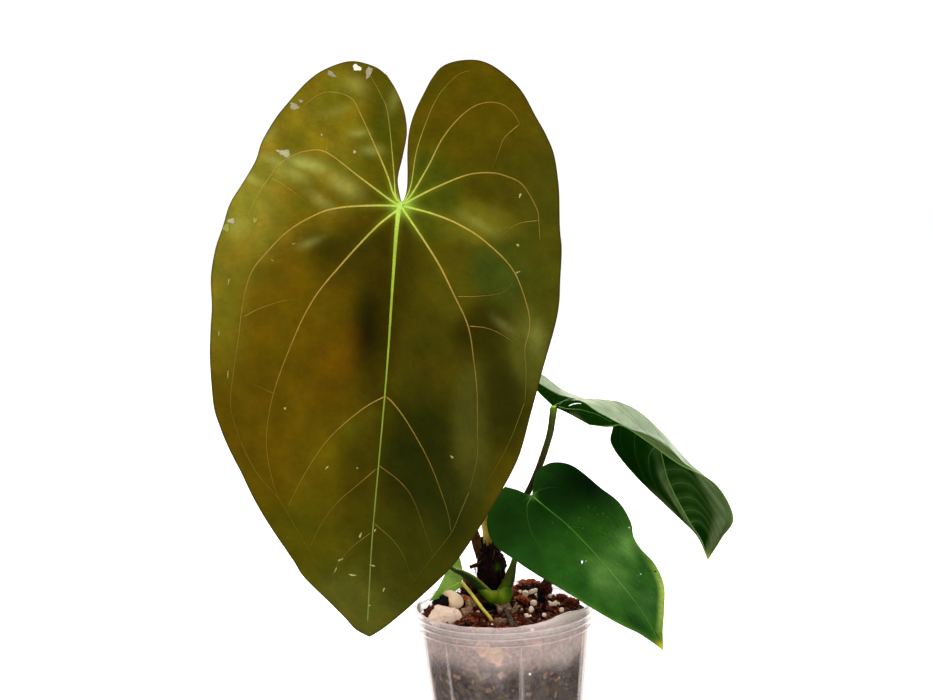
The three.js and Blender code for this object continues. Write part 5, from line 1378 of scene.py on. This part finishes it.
def front_colour(plan, from_margin, from_notch, under):
    """Painted shade makes it nearly black green round the stalk; mid green below, with painted sheens
    beside the midrib, and yellow along the lower right margin.
    """
    tint = dabbed(shown(42, 88, 22), plan, FRONT_DABS)
    waves = 0.13 * ripple(plan, 12, 82) + 0.1 * ripple(plan * [2.2, 1], 5, 83) + 0.05 * ripple(plan, 2.5, 85)
    tint = tint * (1 + waves[:, None] * np.clip(0.3 + plan[:, 1:] / 50, 0.3, 1.2))
    yellow = np.clip(1 - from_margin / 5.0, 0, 1) * patch(plan, (22, 82), (30, 14)) * (plan[:, :1] > 4)
    tint = blend(tint, shown(182, 206, 92), 1.3 * yellow * (1 + 0.3 * ripple(plan, 3, 89)[:, None]))
    edge = np.exp(-(from_margin / 1.6) ** 2) * np.clip((plan[:, 1:] - 35) / 20, 0, 1)
    tint = blend(tint, shown(88, 132, 44), 0.5 * edge)
    tint = blend(tint, shown(200, 192, 46), 0.95 * patch(plan, (1.5, 101.5), (2.8, 3.4)))
    tint = blend(tint, shown(90, 150, 60), 0.6 * np.exp(-(plan ** 2).sum(1) / 5)[:, None])
    tint = blend(tint, shown(10, 34, 10), 0.7 * np.exp(-(from_margin / 0.5) ** 2) * (plan[:, 1:] < 50))
    back = linear(86, 126, 62) * (1 + 0.06 * ripple(plan, 9, 84))[:, None]
    back = blend(back, linear(130, 164, 84), 0.6 * nearness(plan, FRONT_VEINS, 2.2)[:, None])
    return np.clip(np.where(under > 0.5, back, tint), 0, 1)


green = Blade("green_blade", 26.0, 1.05, 0.14, Roughness=0.36, Specular_IOR_Level=0.012)
FRONT = FRONT_LEAF, front_form, front_relief
front_blade = make_blade("front_blade", *FRONT, front_colour, green, "leaf_front", "blade_green", 190, 34)


def torn(at, along, out, length, width):
    """An oval rod across a blade, to cut a hole with: a cylinder stretched along the blade."""
    along, out = along / np.linalg.norm(along), out / np.linalg.norm(out)
    placing = np.column_stack([along, np.cross(out, along), out, np.array(at) / 1000])
    rod = bmesh.new()
    placing = Matrix([*placing.tolist(), [0, 0, 0, 1]]) @ Matrix.Diagonal((length, width, 1, 1))
    bmesh.ops.create_cone(rod, cap_ends=True, segments=20, radius1=0.0005, radius2=0.0005, depth=0.004,
                          matrix=placing)
    return rod


across, down, out = axes_of(FRONT_LEAF)
hole = np.array([-3.9, 42.4])
bored(front_blade, torn(on_blade(FRONT_LEAF, hole, front_form(*hole)), across + 0.2 * down, out, 0.9, 0.5))
draw = np.random.default_rng(79)
FLECKS = np.column_stack([draw.normal(16, 13, 150), draw.normal(56, 20, 150)])
FLECKS = FLECKS[(FLECKS[:, 0] > -4) & (FLECKS[:, 0] < 30) & (FLECKS[:, 1] > 6) & (FLECKS[:, 1] < 90)]
spots = [(at, size, size * 0.7, way, 0.06, linear(72, 112, 50)) for at, size, way in zip(
    FLECKS, draw.uniform(0.25, 0.6, len(FLECKS)), draw.uniform(0, 3, len(FLECKS)))]
# A dark spot and pale specks, and by the hole dark marks of painted shade round its edge and a pale painted
# highlight beside it: place, length, width, turn, height and colour.
spots += [(at, length, width, way, tall, linear(*colour)) for at, length, width, way, tall, colour in (
    ((27.9, 70.4), 1.7, 1.1, 0.3, 0.12, (14, 30, 10)), ((19.4, 66.5), 1.2, 0.7, 0.3, 0.1, (196, 190, 170)),
    ((33.2, 44.5), 1.3, 0.9, 0.2, 0.1, (150, 176, 130)), ((-1.9, 43.4), 0.9, 0.5, 0.2, 0.12, (150, 190, 160)),
    ((-5.4, 42.0), 1.7, 1.0, 0.2, 0.14, (4, 30, 6)), ((-4.2, 43.5), 1.4, 0.7, -0.3, 0.14, (6, 36, 8)))]
fitted(make_piece("front_leaf_marks", *domes(*FRONT, spots, 80, 9, 3)),
       mark_finish, "leaf_front")
FRONT_VEIN_COLOURS = stops(shown, (0, 120, 170, 60), (8, 64, 116, 24), (40, 74, 128, 34), (62, 112, 156, 70),
                           (80, 84, 130, 54), (100, 96, 140, 56))
GREEN_BACK_COLOURS = stops(linear, (0, 150, 180, 90), (100, 130, 160, 80))
make_veins("front_blade_veins", [
    vein_ridges(*FRONT, FRONT_VEINS, FRONT_VEIN_COLOURS, skin_of(front_colour), grow=0.8, ends=1.15),
    vein_ridges(*FRONT, FRONT_VEINS, GREEN_BACK_COLOURS, skin_of(front_colour, 1.0), face=-1, grow=1.4),
], "leaf_front")


# Left leaf: a smaller heart that hangs behind the large blade, mid green with paler veins.
LEFT_LEAF = {
    "junction": [-86, 24, 177], "down": [0.02, -0.25, -0.968], "across": [0.86, -0.5, 0.05], "thick": 0.55,
    "midrib": [[0, 0], [0, 25], [0.5, 50], [0, 76]],
    "left": {
        "notch": [[-9, -14], [-4, -9], [-1.2, -4], [0, 0]],
        "margin": [[-9, -14], [-18, -13], [-27, -3], [-30, 13], [-26, 33], [-16, 54], [-6, 69], [0, 76]],
        "shoulder": 3,
    },
    "right": {
        "notch": [[9, -14], [4, -9], [1.2, -4], [0, 0]],
        "margin": [[9, -14], [18, -13], [27, -4], [30, 12], [27, 32], [17, 54], [6, 69], [0, 76]],
        "shoulder": 3,
    },
}
HALF_HEART = [
    ([[0, 0], [5, -4], [9, -10]], 0.5, 0.8, 0.3), ([[0, 0], [10, -3], [19, 0], [25, 9]], 0.6, 0.8, 0.35),
    ([[0, 0], [9, 5], [17, 16], [20, 30], [17, 43]], 0.7, 0.8, 0.4),
    ([[0, 22], [8, 31], [13, 44], [11, 55]], 0.5, 0.8, 0.3), ([[0.3, 40], [6, 49], [8, 60]], 0.45, 0.8, 0.25),
]
LEFT_VEINS = [([[0, 0], [0, 25], [0.5, 50], [0.1, 72]], 1.2, 0.5, 0.5)] + [
    ([[way * u, v] for u, v in line], *rest) for way in (1, -1) for line, *rest in HALF_HEART
]


def left_form(u, v):
    """Like the front blade's: halves that fall away, ends that fall back, and a small wave."""
    wave = 0.9 * np.sin(0.2 * v + 1) * np.minimum((u / 28) ** 2, 1.2)
    return 1.2 - 0.003 * u ** 2 - 0.0014 * (v - 30) ** 2 + wave


def left_relief(plan):
    """Valleys along the veins and a slow unevenness."""
    return -0.25 * nearness(plan, LEFT_VEINS, 2.6) + 0.1 * ripple(plan, 11, 86)


def left_colour(plan, from_margin, from_notch, under):
    """Mid green, dark round the stalk and lighter towards the tip, with a pale margin."""
    tint = blend(linear(50, 92, 30), linear(22, 56, 14), 0.7 * patch(plan, (0, 4), (20, 16)))
    tint = blend(tint, linear(78, 116, 44), 0.6 * patch(plan, (2, 52), (16, 16)))
    tint = tint * (1 + 0.09 * ripple(plan, 8, 87))[:, None]
    tint = blend(tint, linear(120, 150, 60), 0.6 * np.exp(-(from_margin / 0.7) ** 2))
    back = linear(92, 130, 66) * (1 + 0.06 * ripple(plan, 9, 88))[:, None]
    return np.clip(np.where(under > 0.5, back, tint), 0, 1)


LEFT = LEFT_LEAF, left_form, left_relief
make_blade("left_blade", *LEFT, left_colour, green, "leaf_left", "blade_green", 150, 26)
make_veins("left_blade_veins", [
    vein_ridges(*LEFT, LEFT_VEINS, FRONT_VEIN_COLOURS, skin_of(left_colour)),
    vein_ridges(*LEFT, LEFT_VEINS, GREEN_BACK_COLOURS, skin_of(left_colour, 1.0), face=-1, grow=1.4),
], "leaf_left")


# Small leaf: the newest and palest blade, thin enough to glow, which shows its lower face.
SMALL_LEAF = {
    "junction": [-22.2, -4, 101.2], "down": [-0.804, -0.502, -0.319], "across": [-0.522, 0.34, 0.783],
    "thick": 0.5,
    "midrib": [[0, 0], [0.4, 6], [0.4, 13], [0, 21]],
    "left": {
        "notch": [[-1.4, -1.2], [-0.9, -0.9], [-0.4, -0.5], [0, 0]],
        "margin": [[-1.4, -1.2], [-2.2, 0], [-2.5, 4], [-2.4, 8.5], [-1.7, 14.5], [0, 21]],
        "shoulder": 2,
    },
    "right": {
        "notch": [[9.2, -6.5], [5.1, -4.6], [1.5, -2.8], [0, 0]],
        "margin": [[9.2, -6.5], [12.4, -7], [14, -4.4], [11.5, 0.4], [7, 7], [3, 14], [0, 21]],
        "shoulder": 3,
    },
}
SMALL_VEINS = [
    ([[0, 0], [0.4, 6], [0.4, 13], [0.1, 17]], 0.5, 0.9, 0.3),
    ([[0, 0], [3, -1.5], [7, -3], [10.5, -3.4]], 0.35, 1.4, 0.2),
    ([[0, 0], [4, 0.5], [6, 4], [5, 8]], 0.3, 1.5, 0.2),
    ([[0, 0], [-1, 1.4], [-1.5, 4], [-1.3, 7]], 0.25, 1.6, 0.1),
]


def small_form(u, v):
    """Cupped: one half is bent up more than the other, and the ends rise."""
    return -0.03 * np.minimum(u, 0) ** 2 - 0.006 * u ** 2 + 0.004 * (v - 8) ** 2


def small_relief(plan):
    """Shallow valleys along the veins and a slow unevenness."""
    return -0.12 * nearness(plan, SMALL_VEINS, 1.2) + 0.08 * ripple(plan, 5, 91)


def small_colour(plan, from_margin, from_notch, under):
    """Pale green, deeper towards the tip, palest on the wide lobe, with a darker margin."""
    tint = blend(linear(132, 170, 70), linear(84, 138, 40), 0.8 * patch(plan, (0, 18), (5, 6)))
    tint = blend(tint, linear(160, 190, 96), 0.6 * patch(plan, (8, 0), (6, 6)))
    tint = tint * (1 + 0.07 * ripple(plan, 3.5, 92) - 0.12 * under[:, 0])[:, None]
    return np.clip(blend(tint, linear(96, 136, 50), 0.6 * np.exp(-(from_margin / 0.3) ** 2)), 0, 1)


SMALL = SMALL_LEAF, small_form, small_relief
make_blade("small_blade", *SMALL, small_colour, green, "leaf_small", "blade_pale", 90, 22)
SMALL_VEIN_COLOURS = stops(linear, (0, 206, 206, 90), (10, 170, 190, 90), (20, 130, 170, 70))
make_veins("small_blade_veins", [
    vein_ridges(*SMALL, SMALL_VEINS, SMALL_VEIN_COLOURS, skin_of(small_colour)),
    vein_ridges(*SMALL, SMALL_VEINS, SMALL_VEIN_COLOURS, skin_of(small_colour, 1.0), face=-1, grow=1.3),
], "leaf_small")


# Arched leaf: its stalk holds it level, and it arches over to the right and hangs at its far end,
# so the viewer sees the sheen of its upper face, painted into its tint, a folded near edge, and its
# lower face below.
ARCHED_ROWS = np.array([
    [[39, 62, 192], [36, 38, 194], [31, 15, 190], [46, 26, 191], [55, 10, 187], [61, 2, 180]],
    [[57, 82, 180.5], [54, 62, 184], [52, 40, 188], [63, 38, 188], [68, 18, 179], [68, 14, 178]],
    [[69, 95, 166], [71, 80, 177], [73, 55, 183], [80, 42, 180], [82, 27, 171], [82, 23, 167]],
    [[68, 93, 154], [78, 86, 161], [91, 66, 162], [96, 52, 163], [101, 36, 154], [99, 31, 153]],
    [[81, 84, 136], [90, 80, 137], [98, 67, 136], [107, 60, 144], [113, 46, 143], [120.2, 38, 139.2]],
    [[102, 74, 115], [105, 71, 115], [108, 65, 114], [115, 64, 119], [122, 58, 119], [131.5, 50, 117.5]],
    [[113, 66, 104], [114, 64, 103], [115, 62, 102], [117, 61, 103], [121.5, 59, 103], [125.4, 55.5, 104.2]],
], float)
ARCHED_TIP = [118, 59, 91.5]
ARCHED_HALVES = {
    "far": ([2, 1, 0], [15, 30, 207], [23, 20, 198], [[25, 33, 201], [26, 44, 204]]),
    "near": ([2, 3, 4, 5], [48, -6, 183], [37.6, 4.4, 188.0], [[43, 3, 190], [49, 0, 187], [56, -3, 181]]),
}
ARCHED_THICK = 0.6
ARCHED_GRID = 210, 56, 50  # rows, columns, and how many of the rows are the lobe's


def arched(which, s, t):
    """A point of one half by s, from 0 at the lobe through 1 at the stalk to 2 at the tip, and t,
    from the midrib to the edge. Smooth lines run down the leaf, and a smooth row crosses them."""
    columns, lobe, notch, lobe_row = ARCHED_HALVES[which]
    midrib = [*ARCHED_ROWS[:, columns[0]], ARCHED_TIP]
    in_lobe = s < 1
    along = np.where(in_lobe, 0, (s - 1) * (len(midrib) - 1))
    inner = np.where(in_lobe[:, None], through([lobe, notch, midrib[0]], np.where(in_lobe, 2 * s, 2)),
                     through(midrib, along))
    place = np.where(in_lobe, 2 * s, 2 + along)
    lines = [through([lobe, on_lobe, *ARCHED_ROWS[:, c], ARCHED_TIP], place)
             for on_lobe, c in zip(lobe_row, columns[1:])]
    row = np.stack([inner, *lines])
    row = np.concatenate([2 * row[:1] - row[1:2], row, 2 * row[-1:] - row[-2:-1]])
    at = t * (len(columns) - 1)
    k = np.clip(np.floor(at).astype(int), 0, len(row) - 4)
    i = np.arange(len(s))
    return cubic(row[k, i], row[k + 1, i], row[k + 2, i], row[k + 3, i], (at - k)[:, None])


def arched_frame(which, s, t):
    """Points of the half with the normals of its upper face, from steps taken along s and t."""
    step = 1e-3
    s_in = np.clip(s, step, 2 - step)
    t_in = np.clip(t, step, 1 - step)
    along = arched(which, s_in + step, t_in) - arched(which, s_in - step, t_in)
    aside = arched(which, s_in, t_in + step) - arched(which, s_in, t_in - step)
    up = np.cross(along, aside) * (1 if which == "far" else -1)
    length = np.linalg.norm(up, axis=1, keepdims=True)
    return arched(which, s, t), up / np.maximum(length, 1e-9)


def arched_vein(start, reach, sweep):
    """A side vein in s and t: it leaves the midrib at start, and bends on towards the tip by the
    power of the distance."""
    t = np.linspace(0, reach, 40)
    return np.stack([start + sweep * t ** 1.6, t], 1)


ARCHED_SIDE_VEINS = [arched_vein(1.0 + 0.02 * k, 0.84, sweep) for k, sweep in enumerate((0.55, 0.2))] + [
    arched_vein(at, 0.86, 0.29) for at in (1.13, 1.25, 1.37, 1.46, 1.535, 1.585, 1.633, 1.68, 1.73)
]


def arched_dip(s, t):
    """1 on a side vein, and less with the distance from it, measured in s and t."""
    best = np.zeros(len(s))
    for line in ARCHED_SIDE_VEINS:
        on = np.interp(t, line[:, 1], line[:, 0])
        best = np.maximum(best, np.exp(-((s - on) / 0.02) ** 2) * (t < 0.88))
    return best


def arched_relief(s, t):
    """Folds between the side veins, deepest half way out, in the hanging part."""
    hang = np.clip((s - 1.25) / 0.3, 0, 1) * np.clip((2 - s) / 0.15, 0, 1)
    fade = np.clip(4 * (1 - t), 0, 1) * np.clip(4 * t, 0, 1)
    return hang * fade * 4 * t * (1 - t) * (0.8 * arched_dip(s, t) - 0.3)


def arched_tint(points, which, s, t, under):
    """The tint and, as a fourth value, where it isn't a painted sheen. Above, a painted grey-green
    sheen, the bright room reflected, palest along the crest and beside the folded hem, with painted
    highlights along the hem's crease and the dark lobe's edge; dark green on the near lobe and on the
    inner part of the far one, and olive stripes on the hem. Below, deep green, with a painted grey
    sheen left of the midrib, towards the right margin and on the folds, and a yellow tip. The margin
    is pale, partly its own colour and partly a painted highlight."""
    s, t, plan = s[:, None], t[:, None], np.column_stack([s, t]) * [90, 40]
    # top: the upper face's painted sheen, the bright room reflected; low: the lower face's deep green.
    top, low = shown(164, 180, 146), shown(11, 47, 1)
    if which == "near":
        # A paler painted sheen on the inner part, and a painted highlight band across the half near s of
        # 1.43.
        inward = np.clip((0.52 - t) / 0.14, 0, 1) * np.clip((1.22 - s) / 0.1, 0, 1)
        top = blend(top, shown(198, 211, 174), inward)
        top = blend(top, shown(200, 214, 188), np.exp(-((s - 1.43) / 0.04) ** 2))
        start = np.interp(t, [0, 0.16, 0.39, 0.59, 0.7, 0.76, 0.81, 0.86, 1],
                          [1.085, 1.06, 0.955, 0.893, 0.922, 1.032, 1.082, 1.14, 1.17])
        fold = np.interp(s, [1.13, 1.18, 1.248, 1.295, 1.338, 1.378, 1.415, 1.45, 1.488, 1.55],
                         [0.9, 0.86, 0.75, 0.7, 0.63, 0.61, 0.64, 0.73, 0.76, 0.8]) - 0.02
        across = (t - fold) / (1 - fold)
        beside = np.clip((s - 1.1) / 0.06, 0, 1) * np.clip((1.52 - s) / 0.05, 0, 1)
        # A painted highlight line along the crease of the folded hem.
        top = blend(top, shown(214, 224, 206), 0.7 * np.exp(-((t - fold + 0.03) / 0.018) ** 2) * beside)
        stripes = 0.5 + 0.5 * np.sin(24 * across + 0.8 * ripple(plan, 14, 98)[:, None] - 1.2)
        folded = beside * np.clip(across / 0.04, 0, 1)
        top = blend(top, blend(shown(56, 78, 32), shown(100, 122, 70), stripes), folded)
        dark = np.clip((start - s) / 0.015, 0, 1)
        # painted_edge_light: a painted highlight along the edge of the dark lobe, and paler by the midrib at
        # the lobe's end.
        painted_edge_light = np.exp(-(t / 0.2) ** 2) * np.clip((0.5 - s) / 0.15, 0, 1)
        painted_edge_light = painted_edge_light + np.exp(-((start - s - 0.02) / 0.018) ** 2)
        # grey: a painted grey sheen on the lower face towards the margin.
        border = np.interp(s, [1.45, 1.5, 1.6, 1.65, 1.72, 1.85, 1.95],
                           [0.6, 0.45, 0.5, 0.6, 0.64, 0.45, 0.1])
        grey = 0.9 * np.clip((t - border + 0.04) / 0.2, 0, 1) * np.clip((s - 1.44) / 0.06, 0, 1)
        low = blend(low, shown(84, 104, 60), grey)
    else:
        # The far half past its lobe: a paler painted sheen.
        top = blend(top, shown(204, 212, 182), np.clip((s - 0.95) / 0.1, 0, 1))
        dark = np.clip((0.42 - t) / 0.05, 0, 1) * np.clip((1.085 - s) / 0.02, 0, 1)
        painted_edge_light, folded = 0 * s, 0 * s
        # grey: a painted grey sheen on the lower face left of the midrib.
        border = np.interp(s, [1.42, 1.52, 1.6, 1.68, 1.74, 1.8], [0.24, 0.26, 0.38, 0.45, 0.7, 1.1])
        grey = np.clip((border - t) / 0.12, 0, 1) * np.clip((s - 1.42) / 0.06, 0, 1)
        low = blend(low, blend(shown(44, 70, 25), shown(74, 94, 50), np.clip((s - 1.5) / 0.13, 0, 1)), grey)
        outer = np.clip((s - 1.6) / 0.06, 0, 1) * np.clip((t - 0.62) / 0.2, 0, 1)
        low = blend(low, shown(76, 98, 42), 0.85 * outer)
    leafy = blend(shown(13, 45, 0) * (1 + 0.4 * ripple(plan, 5, 97)[:, None]), shown(88, 110, 64), painted_edge_light)
    top = blend(top, leafy, dark)
    # The folds along the side veins below: darker green, paler where the painted grey sheen lies.
    dip = arched_dip(s[:, 0], t[:, 0])[:, None] * (0.75 if which == "near" else 0.25)
    valley = blend(shown(52, 82, 32), shown(116, 134, 92), grey)
    low = blend(low, valley, dip * np.clip((s - 1.45) / 0.1, 0, 1))
    tint = np.where(under[:, None] > 0.5, low, top)
    tint = tint * (1 + 0.09 * ripple(plan, 9, 95) + 0.06 * ripple(plan * [3, 1], 6, 96))[:, None]
    # A pale margin, partly the blade's own colour and partly a painted highlight where the edge catches the
    # light.
    tint = blend(tint, linear(104, 132, 60), 0.6 * np.exp(-((1 - t) / 0.02) ** 2))
    tip = np.exp(-((points - ARCHED_TIP) ** 2).sum(1) / 14)[:, None]
    bare = np.maximum(np.maximum(dark, folded), under[:, None])
    return np.clip(np.column_stack([blend(tint, shown(176, 186, 76), 0.9 * tip), bare + tip]), 0, 1)


arched_shells = []
for which, way in (("far", -1), ("near", 1)):
    s, t = (values.ravel() for values in sheet_grid(*ARCHED_GRID))
    base, up = arched_frame(which, s, t)
    base = base + up * arched_relief(s, t)[:, None]
    half = up * half_thickness(ARCHED_THICK, (1 - t) * 30, np.where(s < 1, t * 18, 9.0))[:, None]
    tint = np.concatenate([arched_tint(base, which, s, t, np.full(len(s), low)) for low in (0.0, 1.0)])
    plan = np.tile(np.column_stack([way * 40 * t, 95 * (s - 1)]), (2, 1))
    arched_shells.append([np.concatenate([base + half, base - half]), sheet_faces(*ARCHED_GRID), tint, plan])
matt_green = Blade("matt_green_blade", 26.0, 1.05, 0.14, dull=shown(40, 84, 20), Roughness=0.5, IOR=1.0,
                   Specular_IOR_Level=0.003)
arched_blade = fitted(make_piece("arched_blade", *joined(arched_shells)),
                      matt_green, "leaf_back")
ends, face_up = arched_frame("near", np.array([0.715, 0.828, 0.73]), np.array([0.2, 0.43, 0.31]))
bored(arched_blade, torn(ends[2], ends[1] - ends[0], face_up[2], np.linalg.norm(ends[1] - ends[0]), 1.6))


def arched_ridge(which, line, width, face, colours):
    """A raised vein on one face: an oval skin carried along a line of s and t."""
    s, t = line.T
    base, up = arched_frame(which, s, t)
    base = base + up * (arched_relief(s, t) + face * ARCHED_THICK / 2)[:, None]
    along = np.gradient(base, axis=0)
    along /= np.linalg.norm(along, axis=1, keepdims=True)
    aside = np.cross(along, up)
    share = np.linspace(0, 1, len(s))
    half = width / 2 * (1 - 0.7 * share)
    half[[0, -1]] = 0
    turn = np.linspace(0, 2 * np.pi, 9)
    skin = base[:, None] + aside[:, None] * (half[:, None] * np.cos(turn))[..., None] + (
        up[:, None] * face * (0.55 * half[:, None] * np.sin(turn))[..., None])
    skin = skin.reshape(-1, 3)
    return skin, quads(len(s), 9), knots(np.repeat(share, 9)[:, None], colours), skin[:, :2]


ARCHED_MIDRIB = stops(linear, (0, 110, 140, 50), (0.5, 84, 116, 40), (0.75, 96, 126, 56), (1, 140, 160, 76))
ARCHED_SIDE = stops(linear, (0, 60, 92, 40), (0.7, 54, 80, 38), (1, 36, 64, 22))
ARCHED_LOBE = stops(shown, (0, 96, 136, 50), (1, 76, 112, 42))
middle_line = np.column_stack([np.linspace(1, 1.985, 160), np.zeros(160)])
ridges = [arched_ridge("near", middle_line, 1.1, face, ARCHED_MIDRIB) for face in (1, -1)]
ridges += [arched_ridge(which, line, 0.4, face, ARCHED_SIDE)
           for which in ("far", "near") for line in ARCHED_SIDE_VEINS for face in (1, -1)]
lobe_line = [[0.9, 0.03], [0.6, 0.11], [0.47, 0.33], [0.58, 0.6], [0.85, 0.79], [1.04, 0.89]]
ridges.append(arched_ridge("near", through(lobe_line, np.linspace(0, 5, 80)), 0.8, 1, ARCHED_LOBE))
make_veins("arched_blade_veins", ridges, "leaf_back")
